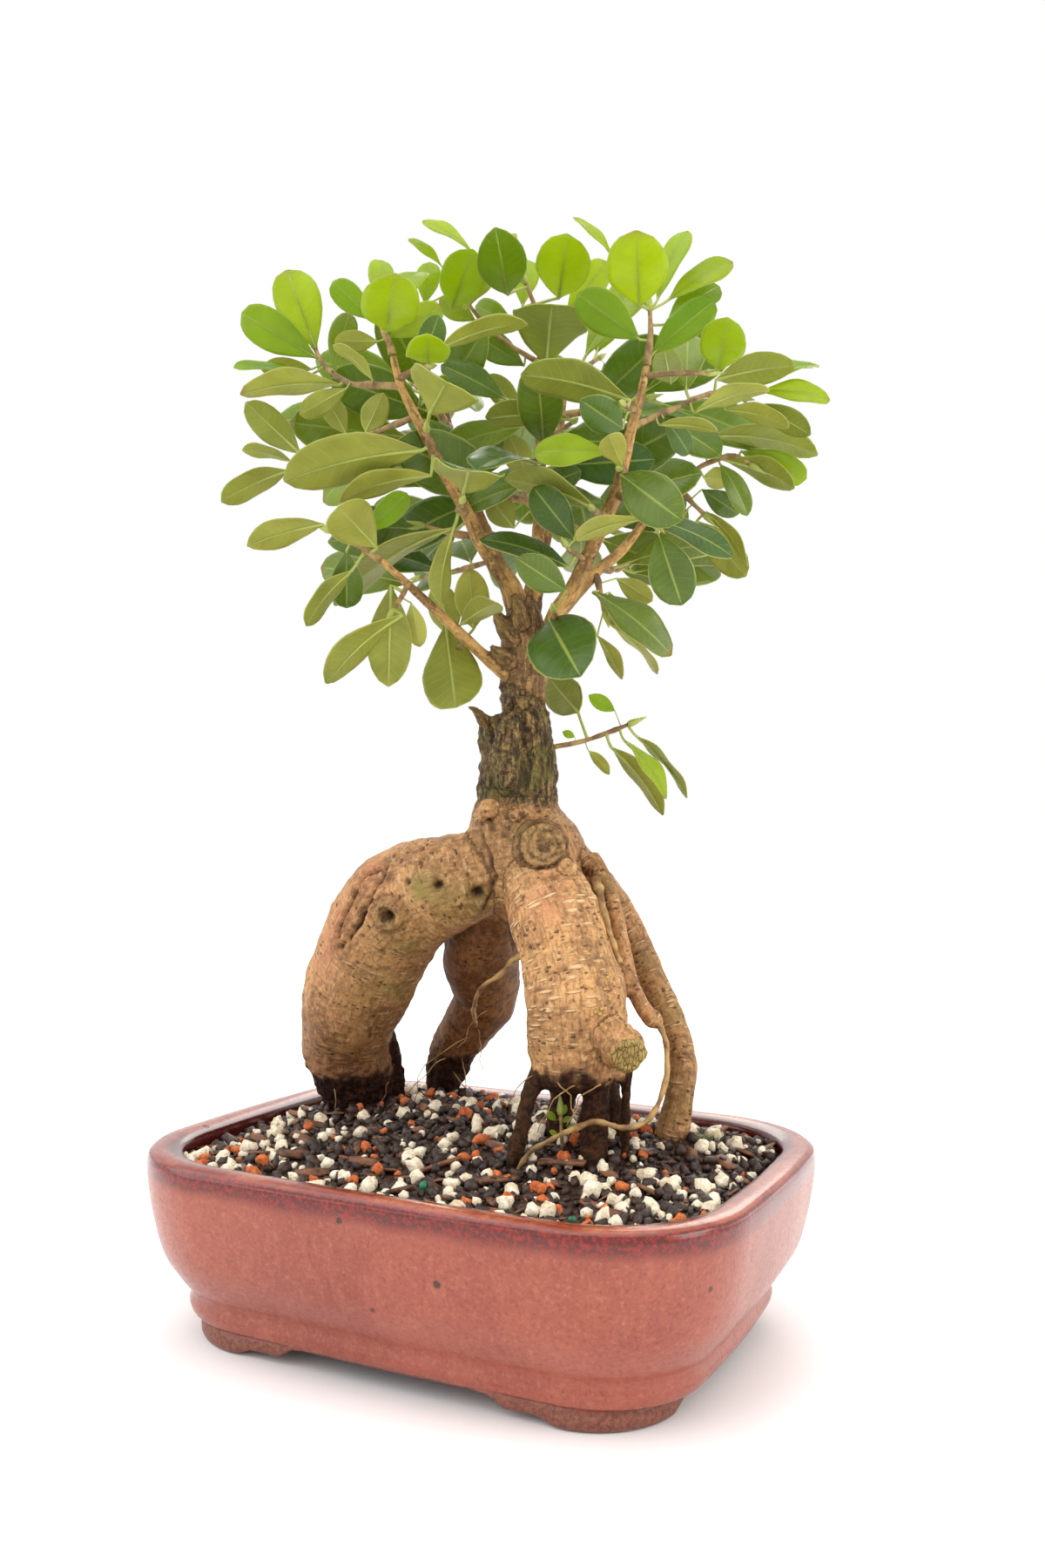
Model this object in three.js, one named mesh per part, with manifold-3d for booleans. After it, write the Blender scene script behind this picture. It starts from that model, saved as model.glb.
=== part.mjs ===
// Ficus ginseng bonsai in a glazed oblong pot, in millimetres.
// +X runs along the long side of the pot, +Y is away from the viewer and +Z is up.
// The origin is under the middle of the pot, on the surface it stands on.
import * as THREE from 'three';
import { mergeVertices } from 'three/addons/utils/BufferGeometryUtils.js';
import Module from 'manifold-3d';

const wasm = await Module();
wasm.setup();

// Driving dimensions
const GAP = 0.3;             // air between two pieces that touch
const POT_LENGTH = 200;      // over the rim
const POT_DEPTH = 157;       // over the rim
const POT_HEIGHT = 58.5;
const CORNER_RADIUS = 43;    // at the rim, seen from above
const LIP_WIDTH = 10.4;      // from the outer edge of the rim to the inner one
const FLOOR_TOP = 11.5;      // the pot's inside floor
const BELT_BOTTOM = 6;       // underside of the pot between its feet
const FOOT_WALL = 11;        // how far a bracket foot reaches in from the edge
const DRAIN_HOLE = 14;       // diameter of each of the two drainage holes
const DRAIN_OFFSET = 42;     // their distance from the middle, along X
const NET_SIZE = 22;         // side of the plastic net over a drainage hole
const NET_THICKNESS = 1.2;
const SOIL_EDGE = 53.2;      // height of the soil along the wall
const MOUND_RISE = 9.5;      // how much higher it is in the middle
const ROOT_COLLAR_RISE = 3.5; // and round each root
const BLADE_THICKNESS = 0.7;
const LEAF_ASPECT = 0.54;    // width of a leaf divided by its length
const LEAF_LONGEST = 50;
const PETIOLE_RADIUS = 0.55;
const TWIG_RADIUS = 1.3;
const CROWN_SEED = 20417;
const SOIL_SEED = 977;

// The picture the plant was measured in. Places on the plant are read there, as
// pixels across and down with a depth in millimetres in front of the camera.
const VIEW = {
  focal: 1519.9,
  middle: [600, 900],
  position: new THREE.Vector3(199.13, -390.03, 162.5),
  forward: new THREE.Vector3(-0.43454, 0.90019, 0.02888),
  right: new THREE.Vector3(0.90065, 0.4343, 0.01461),
  up: new THREE.Vector3(-0.00061, -0.03236, 0.99948),
};

// Materials
const glaze = new THREE.MeshStandardMaterial({ color: 0xb0644c, roughness: 0.28, metalness: 0 });
const net = new THREE.MeshStandardMaterial({ color: 0x2c2c2c, roughness: 0.6, metalness: 0 });
const peat = new THREE.MeshStandardMaterial({ color: 0x2b211b, roughness: 0.95, metalness: 0 });
const bark = new THREE.MeshStandardMaterial({ color: 0xa8926c, roughness: 0.75, metalness: 0 });
const leafGreen = new THREE.MeshStandardMaterial({ color: 0x5f8a35, roughness: 0.4, metalness: 0 });
const leafYoung = new THREE.MeshStandardMaterial({ color: 0x8dbf3a, roughness: 0.4, metalness: 0 });
const leafDark = new THREE.MeshStandardMaterial({ color: 0x2f5b33, roughness: 0.35, metalness: 0 });

// A small repeatable random number generator
function randomFrom(seed) {
  let state = seed >>> 0;
  return () => {
    state = (Math.imul(state, 1664525) + 1013904223) >>> 0;
    return state / 4294967296;
  };
}

// The point seen at a pixel, at a depth in front of the camera
function seen(px, py, depth) {
  return VIEW.position.clone()
    .addScaledVector(VIEW.forward, depth)
    .addScaledVector(VIEW.right, depth * (px - VIEW.middle[0]) / VIEW.focal)
    .addScaledVector(VIEW.up, depth * (VIEW.middle[1] - py) / VIEW.focal);
}

// A closed body through a row of rings with equal numbers of points
function loft(rings) {
  const count = rings[0].length;
  const positions = [];
  const faces = [];
  for (const ring of rings) {
    for (const point of ring) positions.push(point.x, point.y, point.z);
  }
  for (let row = 0; row + 1 < rings.length; row++) {
    for (let i = 0; i < count; i++) {
      const a = row * count + i;
      const b = row * count + (i + 1) % count;
      faces.push(a, b, b + count, a, b + count, a + count);
    }
  }
  const last = (rings.length - 1) * count;
  for (let i = 1; i + 1 < count; i++) {
    faces.push(0, i + 1, i);
    faces.push(last, last + i, last + i + 1);
  }
  const geometry = new THREE.BufferGeometry();
  geometry.setAttribute('position', new THREE.Float32BufferAttribute(positions, 3));
  geometry.setIndex(faces);
  return geometry;
}

function signedVolume(geometry) {
  const p = geometry.attributes.position;
  const index = geometry.index;
  const a = new THREE.Vector3();
  const b = new THREE.Vector3();
  const c = new THREE.Vector3();
  let volume = 0;
  for (let i = 0; i < index.count; i += 3) {
    a.fromBufferAttribute(p, index.getX(i));
    b.fromBufferAttribute(p, index.getX(i + 1));
    c.fromBufferAttribute(p, index.getX(i + 2));
    volume += a.dot(b.cross(c)) / 6;
  }
  return volume;
}

// A geometry as a solid that can be joined and cut, with its faces pointing out
function solid(geometry) {
  geometry.deleteAttribute('normal');
  geometry.deleteAttribute('uv');
  const merged = mergeVertices(geometry, 1e-4);
  const triVerts = Uint32Array.from(merged.index.array);
  if (signedVolume(merged) < 0) triVerts.reverse();
  const vertProperties = Float32Array.from(merged.attributes.position.array);
  return new wasm.Manifold(new wasm.Mesh({ numProp: 3, vertProperties, triVerts }));
}

function join(solids) {
  return wasm.Manifold.union(solids);
}

// The largest piece of a solid: loose scraps are dropped and sealed hollows are filled
function mainPiece(body) {
  return body.decompose().reduce((best, piece) => (piece.volume() > best.volume() ? piece : best));
}

function geometryOf(body) {
  const data = body.getMesh();
  const geometry = new THREE.BufferGeometry();
  geometry.setAttribute('position', new THREE.BufferAttribute(data.vertProperties, 3));
  geometry.setIndex(new THREE.BufferAttribute(data.triVerts, 1));
  return geometry;
}

// Vertices a thousandth of a millimetre apart become one, which can part off a hollow,
// and edges that the joins left along an even face are taken out
function welded(body) {
  const merged = mergeVertices(geometryOf(body).toNonIndexed(), 1e-3);
  const vertProperties = Float32Array.from(merged.attributes.position.array);
  const triVerts = Uint32Array.from(merged.index.array);
  return new wasm.Manifold(new wasm.Mesh({ numProp: 3, vertProperties, triVerts })).simplify(0.06);
}

function mesh(name, body, material) {
  const geometry = geometryOf(mainPiece(welded(mainPiece(body))));
  const result = new THREE.Mesh(geometry, material);
  result.name = name;
  return result;
}

function block(width, depth, height, x, y, z) {
  const geometry = new THREE.BoxGeometry(width, depth, height);
  geometry.translate(x, y, z);
  return solid(geometry);
}

function upright(radius, height, x, y, z, sides) {
  const geometry = new THREE.CylinderGeometry(radius, radius, height, sides);
  geometry.rotateX(Math.PI / 2);
  geometry.translate(x, y, z);
  return solid(geometry);
}

// Pot: rounded oblong outlines stacked from the foot up over the lip and down inside

// One outline: half length, half depth, corner radius, height. The sides bow out a little.
function oblong(halfLength, halfDepth, radius, z, cornerSteps = 4) {
  const sideSteps = 2;
  const bow = 0.9;
  const points = [];
  const centres = [[1, 1], [-1, 1], [-1, -1], [1, -1]];
  centres.forEach(([sx, sy], corner) => {
    const cx = sx * (halfLength - bow - radius);
    const cy = sy * (halfDepth - bow - radius);
    for (let i = 0; i <= cornerSteps; i++) {
      const angle = (corner + i / cornerSteps) * Math.PI / 2;
      points.push(new THREE.Vector3(cx + radius * Math.cos(angle), cy + radius * Math.sin(angle), z));
    }
    const start = points[points.length - 1];
    const [nx, ny] = centres[(corner + 1) % 4];
    const endAngle = (corner + 1) * Math.PI / 2;
    const end = new THREE.Vector3(
      nx * (halfLength - bow - radius) + radius * Math.cos(endAngle),
      ny * (halfDepth - bow - radius) + radius * Math.sin(endAngle), z);
    for (let i = 1; i <= sideSteps; i++) {
      const t = i / (sideSteps + 1);
      const point = start.clone().lerp(end, t);
      point.x += bow * Math.cos(endAngle) * Math.sin(Math.PI * t);
      point.y += bow * Math.sin(endAngle) * Math.sin(Math.PI * t);
      points.push(point);
    }
  });
  return points;
}

// The same outline drawn in from the rim by an inset, at a height
function rimInset(inset, z) {
  const radius = Math.max(CORNER_RADIUS - inset * 0.8, 14);
  return oblong(POT_LENGTH / 2 - inset, POT_DEPTH / 2 - inset, radius, z);
}

// Inset of the outside of the pot at each height, from the underside to the rim
const OUTSIDE = [
  [18, BELT_BOTTOM], [14.6, 7.2], [13, 10.5], [13.8, 14.4], [9.4, 19.5], [5, 27], [2.2, 37],
  [0.3, 49], [0, 54.5], [0.6, 57], [2.2, 58.3],
];

// Inset of the inside, from the rim down to the floor
const INSIDE = [
  [LIP_WIDTH / 2, POT_HEIGHT], [LIP_WIDTH - 1.2, 57.6], [LIP_WIDTH, 55.5],
  [LIP_WIDTH + 0.2, 46], [LIP_WIDTH + 3, 30], [LIP_WIDTH + 13, FLOOR_TOP],
];

// A bracket foot's outline seen from the side: full depth by the corner, then an
// ogee up to a shallow second lobe. The gap between two feet is cut to this line.
function footGap(fullEnd, lobeEnd) {
  const shape = new THREE.Shape();
  shape.moveTo(-fullEnd, -1);
  shape.bezierCurveTo(-fullEnd + 2, 1.4, -fullEnd + 4, 2.4, -fullEnd + 6, 2.2);
  shape.lineTo(-lobeEnd - 5, 2.6);
  shape.quadraticCurveTo(-lobeEnd, 3, -lobeEnd + 1, BELT_BOTTOM + 0.02);
  shape.lineTo(lobeEnd - 1, BELT_BOTTOM + 0.02);
  shape.quadraticCurveTo(lobeEnd, 3, lobeEnd + 5, 2.6);
  shape.lineTo(fullEnd - 6, 2.2);
  shape.bezierCurveTo(fullEnd - 4, 2.4, fullEnd - 2, 1.4, fullEnd, -1);
  return shape;
}

function footGapSolid(fullEnd, lobeEnd, alongY) {
  const reach = POT_LENGTH;
  const geometry = new THREE.ExtrudeGeometry(footGap(fullEnd, lobeEnd), {
    depth: 2 * reach, bevelEnabled: false, curveSegments: 3,
  });
  geometry.translate(0, 0, -reach);
  geometry.rotateX(Math.PI / 2);
  if (alongY) geometry.rotateZ(Math.PI / 2);
  return solid(geometry);
}

function feet() {
  const top = BELT_BOTTOM + 1;
  const outer = solid(loft([
    oblong(78.6, 61.2, 26, 0, 3), oblong(80.4, 63, 26, 1.8, 3),
    oblong(80.6, 63.2, 26.5, top, 3),
  ]));
  const inner = solid(loft([
    oblong(78.6 - FOOT_WALL, 61.2 - FOOT_WALL, 16, -1, 2),
    oblong(78.6 - FOOT_WALL, 61.2 - FOOT_WALL, 16, top + 1, 2),
  ]));
  return outer.subtract(inner)
    .subtract(footGapSolid(54, 35, false))
    .subtract(footGapSolid(38, 25, true));
}

function pot() {
  const shell = solid(loft([...OUTSIDE, ...INSIDE].map(([inset, z]) => rimInset(inset, z))));
  let body = join([shell, feet()]);
  for (const side of [-1, 1]) {
    body = body.subtract(upright(DRAIN_HOLE / 2, 20, side * DRAIN_OFFSET, 0, 8, 16));
  }
  return body;
}

// A square of plastic net that keeps the soil off a drainage hole
function drainNet(x) {
  const holes = 2;
  const pitch = NET_SIZE / (holes + 0.5);
  const z = FLOOR_TOP + GAP + NET_THICKNESS / 2;
  let plate = block(NET_SIZE, NET_SIZE, NET_THICKNESS, x, 0, z);
  for (let i = 0; i < holes; i++) {
    for (let j = 0; j < holes; j++) {
      const dx = (i - (holes - 1) / 2) * pitch;
      const dy = (j - (holes - 1) / 2) * pitch;
      plate = plate.subtract(block(pitch * 0.55, pitch * 0.55, 3, x + dx, dy, z));
    }
  }
  return plate;
}

// Tree: every root, the neck, the grafted stump and the branches grew as one piece.
// Each limb is a row of stations: pixel across, pixel down, depth, half width in pixels.

const LEFT_ROOT = [
  [592, 985, 443, 44], [546, 1004, 445, 50], [503, 1018, 449, 59], [467, 1034, 455, 64],
  [446, 1058, 461, 65], [429, 1090, 466, 64], [412, 1131, 471, 61], [401, 1168, 475, 56],
  [398, 1202, 478, 48], [408, 1236, 480, 44], [415, 1268, 480, 36], [420, 1300, 480, 18],
];
const LEFT_ROOT_PRONG = [
  [430, 1180, 482, 22], [446, 1215, 484, 16], [452, 1245, 485, 13], [455, 1285, 485, 7],
];
const FRONT_ROOT = [
  [600, 972, 440, 38], [618, 1008, 433, 45], [636, 1048, 426, 52], [649, 1090, 421, 53],
  [659, 1135, 417, 57], [664, 1180, 415, 58], [666, 1216, 414, 57], [667, 1238, 414, 51],
  [668, 1246, 414, 38],
];
const FRONT_PRONGS = [
  [[626, 1228, 412, 15], [609, 1252, 409, 11], [600, 1290, 408, 9.5], [591, 1327, 407, 10],
    [588, 1350, 407, 6]],
  [[684, 1225, 410, 24], [684, 1258, 409, 17], [682, 1300, 408, 16], [683, 1330, 408, 17],
    [683, 1352, 408, 9]],
  [[716, 1228, 412, 12], [719, 1250, 412, 7], [718, 1285, 412, 6.5], [718, 1335, 412, 5]],
  [[650, 1225, 426, 22], [646, 1262, 428, 15], [640, 1300, 430, 14], [636, 1335, 430, 8]],
  [[690, 1225, 426, 18], [704, 1262, 428, 10], [708, 1300, 429, 9], [708, 1330, 429, 5]],
];
const BACK_ROOT = [
  [590, 1005, 452, 34], [566, 1050, 466, 41], [553, 1100, 478, 44], [558, 1143, 485, 38],
  [541, 1172, 491, 32], [522, 1201, 497, 27], [512, 1232, 501, 22], [508, 1262, 503, 16],
  [508, 1290, 503, 8],
];
const RIGHT_ROOT = [
  [650, 990, 445, 30], [690, 1026, 449, 25], [722, 1070, 446, 20], [748, 1122, 441, 17.5],
  [772, 1176, 436, 16.5], [783, 1216, 432, 16.5], [781, 1256, 430, 17], [771, 1300, 429, 19],
  [766, 1322, 429, 14], [764, 1345, 429, 7],
];
const SLENDER_ROOT = [
  [676, 985, 438, 14], [697, 1018, 432, 10], [711, 1066, 426, 9], [724, 1125, 421, 9],
  [740, 1160, 419, 10], [752, 1172, 418, 12], [760, 1178, 418, 6],
];
const DEAD_ROOT = [
  [684, 1010, 430, 7], [692, 1045, 421, 4.5], [703, 1080, 418, 4], [712, 1104, 419, 4],
];
const AERIAL_ROOT = [
  [757, 1176, 417, 5], [765, 1200, 415, 3.4], [765, 1238, 413, 3.2], [757, 1265, 411, 3.2],
  [742, 1288, 408, 3.2], [716, 1295, 404, 3.2], [684, 1288, 401, 3.2], [650, 1299, 400, 3.2],
  [626, 1312, 401, 3], [606, 1326, 403, 3], [594, 1346, 405, 3],
];
const ROOT_LOOP = [
  [596, 1098, 440, 5], [574, 1118, 446, 2.8], [552, 1135, 452, 2.6], [544, 1158, 462, 2.6],
  [548, 1182, 482, 2.8],
];
const CUT_STUB = [
  [690, 1185, 408, 26], [712, 1200, 399, 25], [722, 1212, 393, 23],
];
const NECK = [
  [592, 900, 443, 43], [592, 930, 443, 49], [597, 957, 443, 60], [606, 985, 444, 66],
  [614, 1015, 446, 58], [614, 1050, 450, 34],
];
const BURL = [
  [614, 974, 436, 36], [621, 971, 425, 31], [623, 970, 420.5, 25], [623, 970, 419.5, 13],
];
const SMALL_KNOTS = [
  [[564, 932, 436, 15], [561, 930, 428, 12], [561, 930, 426.5, 7]],
  [[592, 936, 433, 13], [591, 935, 426.5, 10], [591, 935, 425.5, 6]],
  [[640, 1000, 428, 16], [652, 996, 420, 11], [655, 996, 418, 6]],
];
const STUMP = [
  [592, 938, 443, 46], [594, 890, 443, 45], [592, 850, 443, 41], [589, 821, 443, 39],
];
const STUMP_PLATE = [
  [583, 905, 428, 13], [582, 860, 429, 15], [583, 826, 430, 12], [583, 818, 431, 7],
];
const TRUNK = [
  [601, 850, 443, 27], [602, 815, 443, 26], [603, 775, 443, 26], [601, 740, 443, 27],
  [602, 712, 443, 24], [602, 696, 443, 15],
];
const STUBS = [
  [[590, 735, 438, 12], [574, 712, 436, 9], [569, 698, 435, 4]],
  [[600, 715, 436, 10], [592, 690, 433, 8], [590, 680, 433, 4]],
  [[606, 720, 446, 10], [617, 692, 448, 7], [619, 678, 449, 3]],
  [[585, 760, 436, 9], [568, 745, 432, 6], [563, 740, 431, 3]],
  [[556, 828, 436, 9], [546, 815, 432, 5], [536, 811, 430, 2.6]],
];
const BRANCHES = {
  left: [
    [601, 722, 443, 15], [591, 681, 440, 12], [570, 649, 437, 11], [551, 619, 434, 9.5],
    [535, 587, 432, 8.5], [508, 539, 428, 7.6], [489, 501, 424, 7], [471, 466, 420, 6.4],
    [459, 440, 417, 5.6], [451, 407, 415, 5],
  ],
  right: [
    [597, 785, 441, 15], [627, 742, 438, 13], [639, 705, 435, 11.5], [658, 677, 432, 10.5],
    [678, 632, 428, 9.5], [695, 596, 424, 8.8], [709, 562, 421, 8], [723, 501, 417, 7],
    [734, 461, 414, 6.2], [743, 418, 412, 5.4],
  ],
  middle: [
    [603, 712, 446, 13], [613, 669, 449, 10], [619, 600, 453, 7.5], [620, 530, 456, 6.4],
    [620, 470, 458, 5.6], [620, 400, 459, 4.6],
  ],
  lowLeft: [
    [590, 778, 441, 10], [568, 764, 437, 8], [505, 705, 426, 6.6], [462, 665, 418, 5.6],
    [436, 642, 412, 4.8],
  ],
  lowRight: [
    [640, 706, 437, 10], [655, 688, 442, 9], [686, 655, 450, 7.4], [714, 632, 456, 6.6],
    [748, 588, 464, 5.6], [778, 552, 469, 4.8],
  ],
  backLeft: [
    [598, 722, 448, 12], [578, 660, 456, 9], [552, 595, 464, 7], [526, 525, 471, 5.6],
    [508, 460, 476, 4.8],
  ],
  back: [
    [606, 722, 449, 12], [620, 650, 458, 9], [634, 570, 467, 7], [644, 490, 474, 5.6],
    [650, 420, 478, 4.8],
  ],
};

// Stations turned into points with a radius, spare is added all round
function stationPoints(stations) {
  return stations.map(([px, py, depth, half]) => ({
    point: seen(px, py, depth),
    radius: half * depth / VIEW.focal,
  }));
}

// A limb: round rings square to its path. Knobs makes the rings swell and shrink.
function limb(stations, sides, spare = 0, knobs = 0) {
  const places = stationPoints(stations);
  let lastAcross = null;
  const rings = places.map(({ point, radius }, i) => {
    const before = places[Math.max(i - 1, 0)].point;
    const after = places[Math.min(i + 1, places.length - 1)].point;
    const along = after.clone().sub(before).normalize();
    const across = along.clone().cross(VIEW.forward);
    if (across.length() < 0.25) across.copy(VIEW.right);
    across.addScaledVector(along, -across.dot(along)).normalize();
    if (lastAcross && across.dot(lastAcross) < 0) across.negate();
    lastAcross = across;
    const outward = along.clone().cross(across);
    const ring = [];
    for (let k = 0; k < sides; k++) {
      const angle = (k + 0.5 * (i % 2)) / sides * 2 * Math.PI;
      const wave = 1 + knobs * Math.sin(3 * angle + 1.7 * i);
      const reach = (radius + spare) * wave;
      ring.push(point.clone()
        .addScaledVector(across, reach * Math.cos(angle))
        .addScaledVector(outward, reach * Math.sin(angle)));
    }
    return ring;
  });
  return solid(loft(rings));
}

// Everything of the tree that goes down into the soil
function buriedRoots(spare) {
  return [
    limb(LEFT_ROOT, 11, spare, 0.03), limb(LEFT_ROOT_PRONG, 6, spare),
    limb(BACK_ROOT, 9, spare, 0.03), limb(RIGHT_ROOT, 7, spare),
    limb(AERIAL_ROOT, 4, spare),
    ...FRONT_PRONGS.map((prong) => limb(prong, 5, spare)),
  ];
}

function tree() {
  return join([
    ...buriedRoots(0),
    limb(FRONT_ROOT, 12, 0, 0.03), limb(SLENDER_ROOT, 6), limb(DEAD_ROOT, 4), limb(ROOT_LOOP, 4),
    limb(CUT_STUB, 9), limb(NECK, 12, 0, 0.04), limb(BURL, 10, 0, 0.05),
    ...SMALL_KNOTS.map((knot) => limb(knot, 6)),
    limb(STUMP, 10, 0, 0.04), limb(STUMP_PLATE, 5), limb(TRUNK, 9, 0, 0.03),
    ...STUBS.map((stub) => limb(stub, 4)),
    ...Object.values(BRANCHES).map((branch) => limb(branch, 5)),
  ]);
}

// Soil: a mound with grains of pumice, clay and bark standing out of it

const GRAIN_COUNT = 32;
const ROOT_COLLARS = [[-63, 20], [-44, 53], [35, -6], [57, 21]];

function soilHeight(x, y) {
  const edgeX = POT_LENGTH / 2 - LIP_WIDTH - Math.abs(x);
  const edgeY = POT_DEPTH / 2 - LIP_WIDTH - Math.abs(y);
  const fade = Math.min(1, Math.max(0, Math.min(edgeX, edgeY) / 16));
  const broad = Math.exp(-(((x + 4) / 78) ** 2) - (((y - 22) / 46) ** 2));
  let height = SOIL_EDGE + fade * MOUND_RISE * broad;
  for (const [cx, cy] of ROOT_COLLARS) {
    const square = (x - cx) ** 2 + (y - cy) ** 2;
    height += Math.min(1, fade * 1.6) * ROOT_COLLAR_RISE * Math.exp(-square / 260);
  }
  return height + 0.5 * fade * Math.sin(x * 0.31 + 1) * Math.sin(y * 0.37);
}

function soilRing(scale, inset) {
  return rimInset(inset, 0).map((point) => {
    const x = point.x * scale;
    const y = point.y * scale;
    return new THREE.Vector3(x, y, soilHeight(x, y));
  });
}

// One grain: a rough eight-sided lump
function grain(x, y, size, random) {
  const geometry = new THREE.OctahedronGeometry(size, 0);
  geometry.rotateX(random() * 3);
  geometry.rotateY(random() * 3);
  geometry.scale(0.8 + 0.4 * random(), 0.8 + 0.4 * random(), 0.75);
  geometry.translate(x, y, soilHeight(x, y) + size * 0.1);
  return solid(geometry);
}

function grains() {
  const random = randomFrom(SOIL_SEED);
  const places = [];
  const halfX = POT_LENGTH / 2 - LIP_WIDTH - 7;
  const halfY = POT_DEPTH / 2 - LIP_WIDTH - 7;
  while (places.length < GRAIN_COUNT) {
    const x = (2 * random() - 1) * halfX;
    const y = (2 * random() - 1) * halfY;
    const size = 2.6 + 1.5 * random();
    const rounded = (Math.abs(x) / halfX) ** 4 + (Math.abs(y) / halfY) ** 4;
    const clear = places.every((p) => Math.hypot(p.x - x, p.y - y) > p.size + size + 1);
    if (rounded < 1 && clear) places.push({ x, y, size });
  }
  return places.map(({ x, y, size }) => grain(x, y, size, random));
}

function soil() {
  const rings = [...INSIDE].reverse()
    .filter(([, z]) => z < 50)
    .map(([inset, z]) => rimInset(inset + GAP, z + GAP));
  rings.push(soilRing(1, LIP_WIDTH + GAP));
  for (const scale of [0.88, 0.73, 0.56, 0.38, 0.18]) {
    rings.push(soilRing(scale, LIP_WIDTH + GAP));
  }
  let body = join([solid(loft(rings)), ...grains()]);
  for (const root of buriedRoots(GAP + 0.1)) body = body.subtract(root);
  for (const side of [-1, 1]) {
    body = body.subtract(block(NET_SIZE + 0.6, NET_SIZE + 0.6, 3.6, side * DRAIN_OFFSET, 0, FLOOR_TOP));
  }
  return body.subtract(limb(SPROUT_STEM, 4, GAP));
}

// Leaves. A leaf is read in the picture as pixels: where its blade starts, where its
// tip is, how wide it looks, then 1 if it leans to the viewer and -1 if away, and the
// side that shows: t for the glossy top, u for the dull underside, y for a young leaf.

// Where on a twig a leaf sits: the nearest point of its path in the picture
function nearestOnTwig(twig, px, py) {
  let best = null;
  for (let i = 0; i + 1 < twig.length; i++) {
    const [ax, ay, ad] = twig[i];
    const [bx, by, bd] = twig[i + 1];
    const span = (bx - ax) ** 2 + (by - ay) ** 2;
    const along = ((px - ax) * (bx - ax) + (py - ay) * (by - ay)) / span;
    const t = Math.min(1, Math.max(i === 0 ? 0.3 : 0, along));
    const x = ax + t * (bx - ax);
    const y = ay + t * (by - ay);
    const distance = Math.hypot(px - x, py - y);
    if (!best || distance < best.distance) best = { x, y, depth: ad + t * (bd - ad), distance };
  }
  return best;
}

// The place of a leaf: root on the twig, blade start, direction, normal, length, width
function leafPlace(twig, [bx, by, tx, ty, wide, side, shows], tipShift, roll) {
  const foot = nearestOnTwig(twig, bx, by);
  const depth = foot.depth - 4 * side;
  const scale = VIEW.focal / depth;
  const across = Math.hypot(tx - bx, ty - by) / scale;
  const apparent = wide / scale;
  const full = Math.min(Math.max(across, side === 0 ? 0 : apparent / LEAF_ASPECT), LEAF_LONGEST);
  const lean = side * Math.sqrt(Math.max(0, full * full - across * across));
  const start = seen(bx, by, depth);
  const tipDepth = depth - lean - tipShift;
  const tip = seen(bx + (tx - bx) * tipDepth / depth, by + (ty - by) * tipDepth / depth, tipDepth);
  return placeLeaf(seen(foot.x, foot.y, foot.depth), start, tip, apparent, roll, shows);
}

function placeLeaf(root, start, tip, apparent, roll, shows) {
  const along = tip.clone().sub(start);
  const length = along.length();
  along.normalize();
  const width = Math.min(Math.max(apparent, 0.44 * length), 0.62 * length, 25);
  const toViewer = VIEW.position.clone().sub(start).normalize();
  const facing = toViewer.clone().addScaledVector(along, -toViewer.dot(along)).normalize();
  const aside = along.clone().cross(facing);
  const turn = Math.acos(Math.min(1, apparent / width));
  let normal = null;
  for (const sign of [1, -1]) {
    const option = facing.clone().multiplyScalar(Math.cos(turn + roll))
      .addScaledVector(aside, sign * Math.sin(turn + roll));
    if (shows === 'u') option.negate();
    if (!normal || option.z > normal.z) normal = option;
  }
  return { root, start, along, normal, length, width };
}

// Half width of the blade along its length, the widest place being past the middle
const BLADE_OUTLINE = [[0.55, 1.0], [0.86, 0.74], [1.0, 0.14]];

function section(centre, sideways, up, halfWide, halfThick) {
  return [[1, 1], [-1, 1], [-1, -1], [1, -1]].map(([a, b]) => centre.clone()
    .addScaledVector(sideways, a * halfWide)
    .addScaledVector(up, b * halfThick));
}

// The blade and its stalk as one body, thicker and wider by spare all round. The stalk's
// rings turn with it, so that a leaf can bend away from its stalk.
function blade(place, spare = 0, withStalk = true) {
  const { root, start, along, normal, length, width } = place;
  const aside = along.clone().cross(normal);
  const half = BLADE_THICKNESS / 2 + spare;
  const stalkWay = start.clone().sub(root).normalize();
  const bend = new THREE.Quaternion().setFromUnitVectors(along, stalkWay);
  const halfBend = new THREE.Quaternion().slerp(bend, withStalk ? 0.5 : 0);
  const thin = PETIOLE_RADIUS + spare;
  const rings = [];
  if (withStalk) {
    rings.push(section(root, aside.clone().applyQuaternion(bend),
      normal.clone().applyQuaternion(bend), thin, thin));
  }
  rings.push(section(start, aside.clone().applyQuaternion(halfBend),
    normal.clone().applyQuaternion(halfBend), thin * 1.3, thin));
  for (const [t, factor] of BLADE_OUTLINE) {
    const centre = start.clone()
      .addScaledVector(along, length * t)
      .addScaledVector(normal, 0.28 * length * t * (1 - t));
    rings.push(section(centre, aside, normal, factor * width / 2 + spare, half));
  }
  return solid(loft(rings));
}

function apart(boxA, boxB) {
  return [0, 1, 2].some((k) => boxA.max[k] < boxB.min[k] || boxB.max[k] < boxA.min[k]);
}

function crosses(body, others) {
  const box = body.boundingBox();
  return others.some((other) => !apart(box, other.box)
    && !body.intersect(other.body).isEmpty());
}

// Small turns tried in this order until a leaf is clear of all that is already there:
// how far its tip moves nearer, in millimetres, and how far it rolls, in radians
const TURNS = [
  [0, 0], [5, 0], [-5, 0], [0, 0.3], [0, -0.3], [9, 0.15], [-9, 0.15], [5, 0.5], [-5, 0.5],
  [13, 0], [-13, 0], [9, -0.4], [-9, -0.4], [17, 0.3], [-17, 0.3], [21, 0], [-21, 0],
];

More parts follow.
